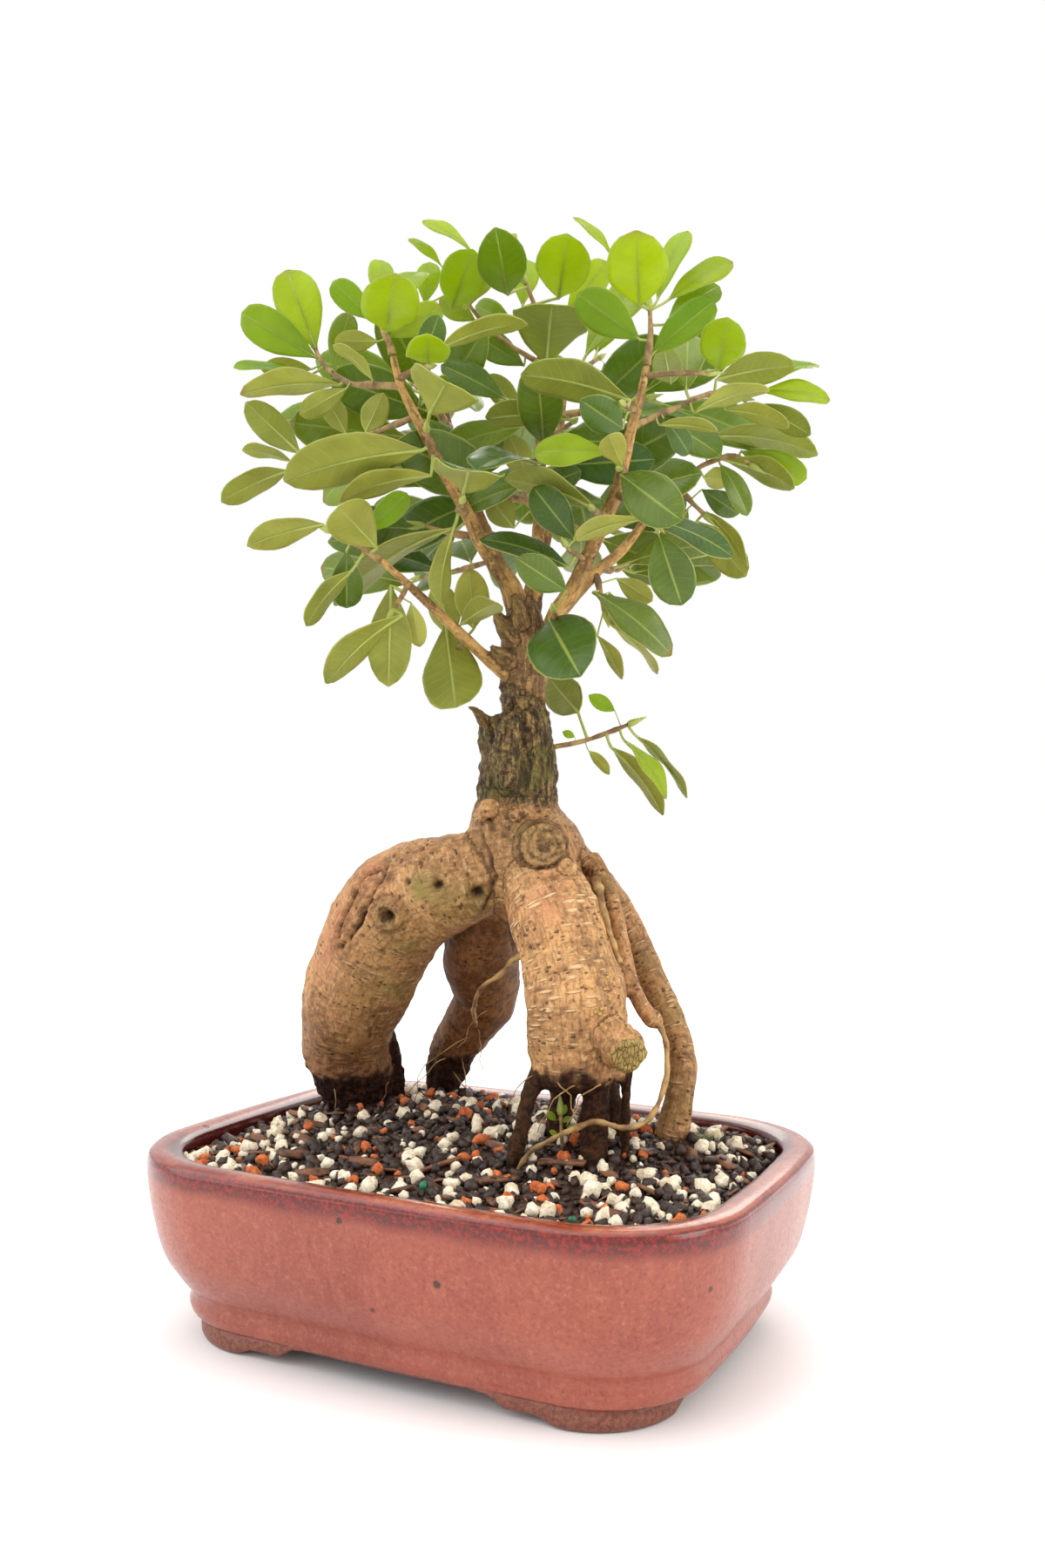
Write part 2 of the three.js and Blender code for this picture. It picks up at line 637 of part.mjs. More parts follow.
const guards = [];   // what a new leaf has to keep clear of: body, box and node name

function guard(body, node, kind) {
  guards.push({ body, box: body.boundingBox(), node, kind });
}

function growLeaf(node, twig, row) {
  for (const [tipShift, roll] of TURNS) {
    const place = Array.isArray(row) ? leafPlace(twig, row, tipShift, roll)
      : placeLeaf(row.root, row.start, row.tip.clone().addScaledVector(VIEW.forward, -tipShift),
        row.apparent, roll, row.shows);
    const whole = blade(place, 0.35);
    const others = guards.filter((g) => g.node !== node || g.kind === 'blade');
    if (!crosses(whole, others)) {
      guard(blade(place, 0.35, false), node, 'blade');
      guard(whole, node, 'leaf');
      return blade(place);
    }
  }
  return null;
}

// Leafy shoots on the side that the picture shows, each on a twig that starts at a branch
const SHOOTS = [
  {
    name: 'shoot_left_tip', branch: 'left',
    twig: [[447, 396, 414, 4.4], [438, 372, 413, 3.4], [434, 350, 414, 2.6]],
    leaves: [
      [444, 381, 454, 311, 66, 1, 'y'], [428, 368, 383, 324, 32, 0, 'y'],
      [436, 348, 438, 302, 30, -1, 'y'], [446, 388, 508, 352, 34, -1, 'y'],
      [434, 392, 384, 392, 26, -1, 'u'], [440, 362, 480, 318, 40, -1, 'y'],
    ],
  },
  {
    name: 'shoot_left_round', branch: 'left',
    twig: [[464, 432, 413, 4], [480, 422, 407, 3.2], [492, 420, 400, 2.6]],
    leaves: [
      [492, 416, 491, 382, 50, 1, 'y'], [505, 400, 606, 371, 26, 0, 'u'],
      [484, 418, 504, 362, 32, -1, 't'],
    ],
  },
  {
    name: 'shoot_left_twig', branch: 'left',
    twig: [[449, 449, 418, 4.4], [404, 440, 424, 3.6], [374, 422, 430, 3], [362, 400, 434, 2.4]],
    leaves: [
      [363, 402, 329, 309, 54, 0, 'y'], [364, 411, 277, 359, 46, 0, 'y'],
      [382, 424, 401, 359, 32, 1, 't'], [358, 424, 300, 424, 24, -1, 'u'],
      [391, 442, 276, 453, 30, 0, 'u'], [380, 452, 272, 466, 32, -1, 'u'],
      [428, 436, 382, 395, 14, 1, 'u'], [398, 446, 344, 476, 28, 1, 'u'],
      [430, 440, 365, 496, 26, 1, 't'], [352, 432, 267, 424, 14, -1, 'y'],
    ],
  },
  {
    name: 'shoot_left_mid', branch: 'left',
    twig: [[463, 484, 426, 4], [410, 505, 440, 3.2], [352, 530, 450, 2.6]],
    leaves: [
      [345, 521, 282, 462, 38, 0, 'u'], [338, 502, 290, 480, 26, -1, 't'],
      [335, 530, 278, 516, 14, -1, 'u'], [332, 540, 254, 576, 32, 0, 'u'],
      [398, 498, 372, 452, 28, -1, 'u'], [420, 496, 440, 452, 32, -1, 'u'],
      [386, 516, 352, 545, 24, -1, 't'], [372, 506, 330, 462, 30, -1, 't'],
    ],
  },
  {
    name: 'shoot_left_front', branch: 'left',
    twig: [[497, 530, 423, 4], [492, 510, 412, 3.2], [490, 495, 403, 2.6]],
    leaves: [
      [484, 517, 326, 552, 60, 0, 'u'], [493, 476, 513, 438, 80, 1, 'u'],
      [495, 546, 389, 574, 30, 0, 'u'],
    ],
  },
  {
    name: 'shoot_left_low', branch: 'left',
    twig: [[526, 594, 428, 4], [526, 586, 420, 3.2], [530, 576, 410, 2.6]],
    leaves: [
      [532, 567, 539, 536, 80, 1, 'u'], [519, 612, 505, 694, 26, 0, 'u'],
      [521, 606, 387, 691, 26, 0, 'u'],
    ],
  },
  {
    name: 'shoot_low_left_tip', branch: 'lowLeft',
    twig: [[430, 636, 410, 4], [404, 622, 408, 3.2], [380, 610, 410, 2.6]],
    leaves: [
      [433, 629, 385, 578, 56, 1, 'u'], [371, 602, 284, 627, 34, 0, 'u'],
      [404, 655, 350, 718, 26, 0, 'u'], [398, 632, 398, 695, 40, -1, 't'],
      [420, 612, 468, 566, 30, -1, 'y'],
    ],
  },
  {
    name: 'shoot_low_left_hang', branch: 'lowLeft',
    twig: [[466, 680, 416, 3.6], [458, 690, 414, 3], [452, 700, 412, 2.4]],
    leaves: [
      [449, 672, 446, 788, 52, 0, 'u'], [462, 706, 375, 785, 30, 1, 'u'],
      [472, 692, 482, 742, 24, -1, 'u'],
    ],
  },
  {
    name: 'shoot_low_under', branch: 'lowLeft',
    twig: [[530, 738, 434, 3.6], [524, 744, 440, 3], [516, 740, 446, 2.4]],
    leaves: [
      [512, 716, 524, 818, 68, 1, 'u'], [545, 752, 500, 795, 16, 1, 't'],
      [560, 752, 560, 810, 36, -1, 'u'], [520, 730, 502, 672, 38, -1, 'u'],
      [544, 722, 540, 654, 42, -1, 'u'], [528, 718, 575, 690, 30, -1, 'u'],
    ],
  },
  {
    name: 'shoot_fork_front', branch: 'right',
    twig: [[641, 724, 430, 4], [638, 712, 420, 3.2], [636, 702, 412, 2.6]],
    leaves: [
      [630, 711, 671, 785, 80, 1, 't'], [650, 678, 592, 640, 40, 1, 't'],
    ],
  },
  {
    name: 'shoot_right_stem_low', branch: 'right',
    twig: [[664, 640, 426, 3.6], [656, 634, 420, 3], [650, 626, 414, 2.4]],
    leaves: [
      [653, 652, 551, 620, 30, 0, 't'], [660, 620, 613, 560, 44, 0, 't'],
    ],
  },
  {
    name: 'shoot_right_low', branch: 'lowRight',
    twig: [[690, 664, 449, 3.8], [688, 676, 443, 3.2], [694, 700, 440, 2.4]],
    leaves: [
      [681, 680, 770, 753, 38, 1, 't'], [700, 716, 756, 772, 13, 0, 'u'],
      [686, 730, 713, 780, 16, -1, 'u'], [700, 680, 708, 720, 24, -1, 'u'],
      [708, 664, 749, 690, 26, -1, 'u'],
    ],
  },
  {
    name: 'shoot_right_hang', branch: 'right',
    twig: [[716, 571, 416, 4], [734, 586, 408, 3.4], [750, 600, 402, 2.6]],
    leaves: [
      [756, 613, 783, 695, 54, 0, 't'], [744, 596, 841, 640, 28, 0, 't'],
      [738, 596, 660, 620, 20, 0, 'u'],
    ],
  },
  {
    name: 'shoot_right_dark', branch: 'right',
    twig: [[720, 540, 416, 4], [716, 540, 408, 3.2], [712, 538, 400, 2.6]],
    leaves: [
      [713, 545, 786, 600, 58, 1, 't'], [714, 534, 698, 499, 32, 1, 'u'],
      [700, 520, 612, 520, 34, 1, 'y'],
    ],
  },
  {
    name: 'shoot_right_edge_on', branch: 'right',
    twig: [[689, 590, 420, 3.8], [684, 588, 414, 3], [680, 584, 408, 2.4]],
    leaves: [
      [684, 585, 582, 551, 16, 0, 'u'],
    ],
  },
  {
    name: 'shoot_back_right', branch: 'lowRight',
    twig: [[784, 563, 469, 4], [796, 578, 470, 3.2], [808, 590, 470, 2.6]],
    leaves: [
      [800, 598, 857, 662, 40, -1, 'u'], [811, 588, 860, 650, 14, 0, 'u'],
      [806, 562, 848, 590, 28, -1, 't'], [790, 584, 762, 630, 30, -1, 'u'],
    ],
  },
  {
    name: 'shoot_right_end', branch: 'lowRight',
    twig: [[786, 544, 468, 4.2], [816, 530, 466, 3.6], [844, 524, 464, 3.1], [861, 532, 463, 2.3]],
    leaves: [
      [817, 500, 940, 520, 30, 0, 'u'], [851, 518, 926, 550, 36, -1, 'y'],
      [832, 528, 914, 560, 28, 0, 'u'], [847, 556, 912, 566, 28, -1, 'u'],
      [827, 533, 859, 592, 26, 1, 't'], [808, 522, 774, 488, 26, -1, 'u'],
      [800, 556, 844, 580, 34, -1, 't'], [808, 548, 842, 550, 26, -1, 'u'],
    ],
  },
  {
    name: 'shoot_right_upper', branch: 'right',
    twig: [[736, 492, 418, 4.2], [774, 469, 428, 3.6], [816, 452, 438, 3], [850, 456, 446, 2.4]],
    leaves: [
      [872, 450, 954, 458, 24, 0, 'y'], [796, 474, 884, 446, 20, 1, 'u'],
      [822, 436, 914, 419, 38, 0, 'u'], [862, 466, 931, 499, 30, 0, 'u'],
      [832, 470, 908, 489, 22, -1, 'u'], [757, 488, 824, 496, 16, 1, 'u'],
      [842, 446, 939, 422, 14, -1, 'y'], [788, 449, 790, 385, 44, -1, 't'],
      [762, 480, 790, 520, 28, 1, 't'],
    ],
  },
  {
    name: 'shoot_right_tip', branch: 'right',
    twig: [[745, 404, 411, 4.4], [747, 380, 410, 3.6], [746, 356, 410, 2.8]],
    leaves: [
      [734, 351, 730, 257, 74, 1, 'y'], [748, 408, 820, 347, 40, 0, 'y'],
      [768, 344, 841, 302, 28, -1, 'y'], [755, 344, 790, 266, 28, -1, 'y'],
      [735, 390, 664, 338, 48, 0, 'y'], [737, 400, 664, 386, 14, 1, 'u'],
      [765, 372, 826, 328, 32, -1, 'y'], [702, 292, 658, 251, 10, -1, 'y'],
    ],
  },
  {
    name: 'shoot_right_tip_low', branch: 'right',
    twig: [[748, 432, 412, 4], [776, 428, 414, 3.2], [810, 428, 418, 2.6]],
    leaves: [
      [825, 425, 836, 361, 54, 1, 'y'], [770, 440, 762, 396, 36, -1, 'u'],
    ],
  },
  {
    name: 'shoot_right_olive', branch: 'right',
    twig: [[728, 470, 411, 4], [722, 468, 404, 3.2], [716, 464, 396, 2.6]],
    leaves: [
      [724, 460, 598, 430, 46, 0, 'u'], [715, 492, 665, 458, 42, 1, 't'],
    ],
  },
  {
    name: 'shoot_middle_left', branch: 'middle',
    twig: [[612, 470, 456, 3.8], [596, 466, 450, 3.2], [584, 462, 444, 2.6]],
    leaves: [
      [580, 458, 507, 420, 34, 1, 't'], [600, 490, 505, 520, 36, 1, 't'],
      [596, 474, 560, 430, 30, -1, 'u'], [598, 505, 524, 534, 44, -1, 't'],
    ],
  },
  {
    name: 'shoot_middle_right', branch: 'middle',
    twig: [[628, 500, 454, 3.8], [646, 492, 444, 3.2], [658, 484, 432, 2.6]],
    leaves: [
      [656, 482, 558, 481, 28, 0, 'u'], [662, 470, 684, 420, 38, -1, 't'],
      [650, 500, 700, 530, 34, -1, 't'],
    ],
  },
  {
    name: 'shoot_middle_tip', branch: 'middle',
    twig: [[620, 388, 457, 3.8], [618, 366, 452, 3.2], [612, 346, 448, 2.6], [604, 326, 446, 2.2]],
    leaves: [
      [583, 338, 568, 258, 62, 1, 't'], [562, 306, 593, 270, 15, 0, 'y'],
      [642, 342, 652, 262, 66, 1, 'y'], [600, 352, 604, 300, 34, -1, 'y'],
      [627, 418, 634, 343, 88, 1, 'u'], [650, 360, 697, 300, 36, -1, 'y'],
      [590, 372, 548, 352, 30, -1, 't'],
    ],
  },
  {
    name: 'shoot_middle_high_left', branch: 'middle',
    twig: [[612, 416, 457, 3.6], [580, 392, 458, 3], [548, 362, 458, 2.6], [528, 330, 456, 2.2]],
    leaves: [
      [519, 354, 544, 284, 54, 1, 'y'], [541, 288, 485, 254, 12, 0, 'y'],
      [531, 356, 567, 321, 15, 1, 'u'], [506, 304, 469, 275, 12, 0, 'y'],
      [560, 388, 514, 402, 28, 1, 'u'], [488, 350, 493, 303, 28, -1, 'y'],
      [546, 368, 504, 344, 26, -1, 't'], [602, 420, 546, 384, 34, -1, 't'],
    ],
  },
  {
    name: 'shoot_middle_low', branch: 'middle',
    twig: [[613, 590, 451, 3.6], [604, 574, 446, 3], [598, 562, 440, 2.4]],
    leaves: [
      [599, 558, 535, 584, 26, 1, 't'], [606, 548, 585, 500, 34, -1, 'u'],
      [590, 606, 562, 570, 34, -1, 'u'], [618, 560, 668, 540, 30, 1, 't'],
    ],
  },
];

// The side shoot on the graft stump, and the seedling between the front prongs
const SIDE_SHOOT = {
  name: 'side_shoot', branch: 'stump',
  twig: [[646, 862, 443, 3.2], [669, 851, 442, 2.8], [706, 838, 441, 2.4], [721, 832, 441, 2]],
  leaves: [
    [660, 846, 646, 840, 14, 0, 'y'], [664, 818, 628, 776, 46, -1, 'u'],
    [706, 816, 676, 798, 18, 1, 'y'], [676, 862, 700, 889, 13, 0, 'u'],
    [702, 858, 761, 936, 22, 0, 'u'], [717, 850, 765, 918, 16, 1, 'y'],
    [732, 846, 787, 917, 12, -1, 'u'],
  ],
};
const SPROUT_STEM = [[646, 1335, 411, 2.2], [645, 1308, 411, 2.2], [644, 1280, 411, 2]];
const SPROUT_LEAVES = [
  [638, 1286, 628, 1276, 9, 0, 'y'], [645, 1280, 650, 1268, 9, 0, 'y'],
  [651, 1297, 661, 1291, 9, 0, 'y'],
];

// Shoots on the far side and inside the crown are placed by a rule: a branch, how far along
// it the shoot starts, its heading as an angle from above, its rise and its length in
// millimetres
const RULED_SHOOTS = [
  { name: 'far_shoot_1', branch: 'backLeft', at: 0.97, heading: 150, rise: 0.5, length: 22 },
  { name: 'far_shoot_2', branch: 'backLeft', at: 0.78, heading: 176, rise: 0.3, length: 30 },
  { name: 'far_shoot_3', branch: 'backLeft', at: 0.55, heading: 125, rise: -0.05, length: 28 },
  { name: 'far_shoot_4', branch: 'back', at: 0.97, heading: 80, rise: 0.4, length: 20 },
  { name: 'far_shoot_5', branch: 'back', at: 0.8, heading: 25, rise: 0.1, length: 26 },
  { name: 'far_shoot_6', branch: 'back', at: 0.62, heading: 110, rise: 0.1, length: 26 },
  { name: 'far_shoot_7', branch: 'back', at: 0.42, heading: 65, rise: -0.1, length: 26 },
  { name: 'far_shoot_8', branch: 'backLeft', at: 0.32, heading: 165, rise: -0.15, length: 32 },
  { name: 'inner_shoot_1', branch: 'middle', at: 0.46, heading: 200, rise: 0.2, length: 16 },
  { name: 'inner_shoot_2', branch: 'middle', at: 0.52, heading: 300, rise: 0.1, length: 18 },
  { name: 'inner_shoot_3', branch: 'backLeft', at: 0.88, heading: 280, rise: 0.1, length: 18 },
  { name: 'inner_shoot_4', branch: 'backLeft', at: 0.42, heading: 235, rise: -0.1, length: 20 },
  { name: 'inner_shoot_5', branch: 'back', at: 0.5, heading: 320, rise: 0, length: 20 },
  { name: 'inner_shoot_6', branch: 'lowRight', at: 0.42, heading: 85, rise: 0.1, length: 18 },
];
const RULED_LEAVES = 5;      // on each of these shoots
const CROWN_REACH = { x: 97, y: 77, z: 362 }; // how far from the origin a tip may be
const CROWN_UNDERSIDE = 257; // how low one may hang
const GOLDEN_ANGLE = 2.39996;

function alongBranch(stations, at) {
  const places = stationPoints(stations);
  const position = at * (places.length - 1);
  const i = Math.min(Math.floor(position), places.length - 2);
  const t = position - i;
  return {
    point: places[i].point.clone().lerp(places[i + 1].point, t),
    radius: places[i].radius * (1 - t) + places[i + 1].radius * t,
  };
}

// The nearest place on a limb's axis to a point
function nearestOnLimb(stations, target) {
  const places = stationPoints(stations);
  let best = null;
  for (let i = 0; i + 1 < places.length; i++) {
    const span = places[i + 1].point.clone().sub(places[i].point);
    const along = target.clone().sub(places[i].point).dot(span) / span.lengthSq();
    const t = Math.min(1, Math.max(0, along));
    const point = places[i].point.clone().addScaledVector(span, t);
    const radius = places[i].radius * (1 - t) + places[i + 1].radius * t;
    const distance = point.distanceTo(target);
    if (!best || distance < best.distance) best = { point, radius, distance };
  }
  return best;
}

// The pixel and depth of a point, the other way round from seen
function pixelOf(point) {
  const offset = point.clone().sub(VIEW.position);
  const depth = offset.dot(VIEW.forward);
  return [
    VIEW.middle[0] + VIEW.focal * offset.dot(VIEW.right) / depth,
    VIEW.middle[1] - VIEW.focal * offset.dot(VIEW.up) / depth,
    depth,
  ];
}

// A twig whose first station is moved to its branch, then out until it clears the bark
function rootedTwig({ twig, branch }, bark) {
  const limbOfTwig = branch === 'stump' ? STUMP : BRANCHES[branch];
  const [first, second, ...rest] = twig;
  const axis = nearestOnLimb(limbOfTwig, seen(...first.slice(0, 3)));
  const way = seen(...second.slice(0, 3)).sub(axis.point).normalize();
  for (let out = axis.radius * 0.9; ; out += 0.25) {
    const start = axis.point.clone().addScaledVector(way, out);
    const moved = [[...pixelOf(start), first[3]], second, ...rest];
    if (limb(moved, 6, GAP).intersect(bark).isEmpty()) return moved;
  }
}

// Rings of a twig between two points
function twigBetween(points, firstRadius, lastRadius, sides) {
  const rings = points.map((point, i) => {
    const before = points[Math.max(i - 1, 0)];
    const after = points[Math.min(i + 1, points.length - 1)];
    const along = after.clone().sub(before).normalize();
    const across = along.clone().cross(new THREE.Vector3(0.3, 0.2, 1)).normalize();
    const outward = along.clone().cross(across);
    const radius = firstRadius + (lastRadius - firstRadius) * i / (points.length - 1);
    return Array.from({ length: sides }, (_, k) => point.clone()
      .addScaledVector(across, radius * Math.cos(2 * Math.PI * k / sides))
      .addScaledVector(outward, radius * Math.sin(2 * Math.PI * k / sides)));
  });
  return solid(loft(rings));
}

function ruledShoot({ name, branch, at, heading, rise, length }, random) {
  const parent = alongBranch(BRANCHES[branch], at);
  const angle = heading * Math.PI / 180;
  const way = new THREE.Vector3(Math.cos(angle), Math.sin(angle), rise).normalize();
  const first = parent.point.clone().addScaledVector(way, parent.radius / 0.8 + GAP + TWIG_RADIUS);
  const points = [0, 0.5, 1].map((t) => first.clone()
    .addScaledVector(way, length * t)
    .add(new THREE.Vector3(0, 0, 3 * t * t)));
  const parts = [twigBetween(points, TWIG_RADIUS, 0.8, 5)];
  guard(twigBetween(points, TWIG_RADIUS + 0.4, 1.2, 6), name, 'twig');
  const side = way.clone().cross(new THREE.Vector3(0, 0, 1)).normalize();
  const lift = side.clone().cross(way);
  for (let k = 0; k < RULED_LEAVES; k++) {
    const t = 0.22 + 0.78 * k / (RULED_LEAVES - 1);
    const root = points[0].clone().lerp(points[2], t);
    root.z = points[0].z + (points[2].z - points[0].z) * t;
    const twist = k * GOLDEN_ANGLE + random();
    const spread = 0.95 - 0.55 * t;
    const out = way.clone().multiplyScalar(0.55 + 0.4 * t)
      .addScaledVector(side, spread * Math.cos(twist))
      .addScaledVector(lift, spread * Math.sin(twist))
      .normalize();
    const size = 32 + 12 * random();
    const start = root.clone().addScaledVector(out, 6);
    const tip = start.clone().addScaledVector(out, size);
    tip.x = Math.max(-CROWN_REACH.x, Math.min(tip.x, CROWN_REACH.x));
    tip.y = Math.max(-CROWN_REACH.y, Math.min(tip.y, CROWN_REACH.y));
    tip.z = Math.max(CROWN_UNDERSIDE, Math.min(tip.z - 4 * random(), CROWN_REACH.z));
    const apparent = size * (0.3 + 0.2 * random());
    const leaf = growLeaf(name, null, { root, start, tip, apparent, shows: 't' });
    if (leaf) parts.push(leaf);
  }
  return join(parts);
}

function leafyShoot({ name, twig, leaves }) {
  const parts = [limb(twig, 5)];
  for (const row of leaves) {
    const leaf = growLeaf(name, twig, row);
    if (leaf) parts.push(leaf);
  }
  return join(parts);
}

function sprout() {
  const parts = [limb(SPROUT_STEM, 4)];
  for (const row of SPROUT_LEAVES) parts.push(blade(leafPlace(SPROUT_STEM, row, 0, 0)));
  return join(parts);
}

// The finished object

const group = new THREE.Group();
group.add(mesh('pot', pot(), glaze));
group.add(mesh('drain_net_left', drainNet(-DRAIN_OFFSET), net));
group.add(mesh('drain_net_right', drainNet(DRAIN_OFFSET), net));
group.add(mesh('soil', soil(), peat));
const grownTree = tree();
group.add(mesh('tree', grownTree, bark));

for (const branch of Object.values(BRANCHES)) guard(limb(branch, 6, 0.4), 'tree', 'branch');
for (const part of [TRUNK, STUMP, ...STUBS]) guard(limb(part, 10, 0.4), 'tree', 'branch');
const rootedShoots = [...SHOOTS, SIDE_SHOOT].map((shoot) => (
  { ...shoot, twig: rootedTwig(shoot, grownTree) }));
for (const shoot of rootedShoots) guard(limb(shoot.twig, 6, 0.35), shoot.name, 'twig');
for (const shoot of rootedShoots) {
  const young = shoot.leaves.filter((row) => row[6] === 'y').length;
  const dark = shoot.leaves.filter((row) => row[6] === 't').length;
  const material = young * 2 > shoot.leaves.length ? leafYoung : leafGreen;
  group.add(mesh(shoot.name, leafyShoot(shoot), dark * 2 > shoot.leaves.length ? leafDark : material));
}
const random = randomFrom(CROWN_SEED);
for (const shoot of RULED_SHOOTS) group.add(mesh(shoot.name, ruledShoot(shoot, random), leafGreen));
group.add(mesh('sprout', sprout(), leafYoung));

export default group;
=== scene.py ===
# %% [markdown]
# # A ficus ginseng bonsai in its glazed pot
#
# The plant stands on fat roots above the soil, with a grafted crown of small oval leaves.
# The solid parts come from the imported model. This lesson gives each of them its finish and
# its finer shape: smooth bark with lenticels, veined leaves, loose soil and a dipped glaze.

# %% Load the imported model
import math

import bmesh
import bpy
import numpy as np
from mathutils import Matrix, Vector, kdtree, noise
from mathutils.bvhtree import BVHTree


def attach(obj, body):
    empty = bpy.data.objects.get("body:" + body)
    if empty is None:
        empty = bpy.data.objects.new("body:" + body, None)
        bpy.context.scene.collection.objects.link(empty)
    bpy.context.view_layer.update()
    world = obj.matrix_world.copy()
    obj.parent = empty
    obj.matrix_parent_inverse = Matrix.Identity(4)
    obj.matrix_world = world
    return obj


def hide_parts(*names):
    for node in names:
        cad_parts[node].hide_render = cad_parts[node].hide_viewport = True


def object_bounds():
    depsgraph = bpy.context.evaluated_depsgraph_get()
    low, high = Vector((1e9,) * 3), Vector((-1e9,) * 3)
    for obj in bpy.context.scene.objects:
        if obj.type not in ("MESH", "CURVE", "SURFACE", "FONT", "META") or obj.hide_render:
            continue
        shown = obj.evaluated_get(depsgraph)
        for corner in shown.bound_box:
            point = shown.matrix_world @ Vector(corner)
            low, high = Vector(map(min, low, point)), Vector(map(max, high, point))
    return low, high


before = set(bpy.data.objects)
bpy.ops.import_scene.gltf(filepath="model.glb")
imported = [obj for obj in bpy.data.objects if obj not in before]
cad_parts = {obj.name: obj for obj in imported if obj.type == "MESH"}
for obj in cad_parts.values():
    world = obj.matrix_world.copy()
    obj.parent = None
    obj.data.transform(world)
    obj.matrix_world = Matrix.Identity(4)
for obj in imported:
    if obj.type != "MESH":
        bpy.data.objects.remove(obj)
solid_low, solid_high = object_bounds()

MM = 0.001
print(len(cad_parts), "solid parts,", round((solid_high.z - solid_low.z) / MM), "mm high")

# %% [markdown]
# ## Tools used by every piece
#
# Each piece is made in a bmesh and then becomes an object that stays at the origin, with
# its place in its mesh. Materials are node trees, so one class keeps them short: it adds
# nodes, lays one colour over another where a mask says, and adds one bump to the last.

# %% From a bmesh to a piece of the object
def added(name, data):
    """An object with this data, put in the scene."""
    made = bpy.data.objects.new(name, data)
    bpy.context.scene.collection.objects.link(made)
    return made


def mesh_of(name, bm, outward=True):
    """The mesh of a bmesh, which is freed, with its faces turned outwards."""
    if outward:
        bmesh.ops.recalc_face_normals(bm, faces=bm.faces)
    mesh = bpy.data.meshes.new(name)
    bm.to_mesh(mesh)
    bm.free()
    return mesh


def add_mesh(whole, mesh):
    """Adds a mesh to a bmesh and gives back the new points."""
    first = len(whole.verts)
    whole.from_mesh(mesh)
    whole.verts.ensure_lookup_table()
    return whole.verts[first:]


def add_part(whole, part):
    """Adds a bmesh, which is freed, to another and gives back the new points."""
    scrap = mesh_of("scrap", part, outward=False)
    new = add_mesh(whole, scrap)
    bpy.data.meshes.remove(scrap)
    return new


def joined(parts):
    """One bmesh that holds all the parts, which are freed."""
    whole = bmesh.new()
    for part in parts:
        add_part(whole, part)
    return whole


def with_modifiers(helper):
    """The mesh that a helper object has after its modifiers. The object is removed."""
    graph = bpy.context.evaluated_depsgraph_get()
    mesh = bpy.data.meshes.new_from_object(helper.evaluated_get(graph))
    bpy.data.objects.remove(helper)
    return mesh


def finished(name, mesh, finishes, nodes=()):
    """An object of the plant that rides on the pot and may stand for solid parts."""
    for finish in finishes:
        mesh.materials.append(finish)
    mesh.shade_smooth()
    piece = added(name, mesh)
    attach(piece, "root")
    if nodes:
        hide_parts(*nodes)
    print(name, len(mesh.polygons), "faces")
    return piece


# %% Places, attributes and random numbers
def places_of(mesh):
    """The points of a mesh as rows of three numbers."""
    places = np.empty(len(mesh.vertices) * 3)
    mesh.vertices.foreach_get("co", places)
    return places.reshape(-1, 3)


def painted(mesh, name, values):
    """Stores a number or a place for each point of a mesh, for the materials to read."""
    kind, field = ("FLOAT", "value") if values.ndim == 1 else ("FLOAT_VECTOR", "vector")
    layer = mesh.attributes.new(name, kind, "POINT")
    layer.data.foreach_set(field, values.astype(np.float32).ravel())


def noise_at(places):
    """Smooth noise from -1 to 1 at each place."""
    return np.array([noise.noise(Vector(place)) for place in places])


def repeatable(seed):
    """Random numbers from 0 to 1 that come out the same each time."""
    state = seed

    def draw():
        nonlocal state
        state = (state * 1664525 + 1013904223) % 2 ** 32
        return state / 2 ** 32
    return draw


# %% A material built up in layers
SOCKETS = {"roughness": "Roughness", "coat": "Coat Weight", "coat_roughness": "Coat Roughness",
           "specular": "Specular IOR Level"}


def shade(red, green, blue):
    """A colour from the 0 to 255 numbers of a picture, made linear."""
    linear = [((c / 255 + 0.055) / 1.055) ** 2.4 if c > 10 else c / 255 / 12.92
              for c in (red, green, blue)]
    return (*linear, 1)


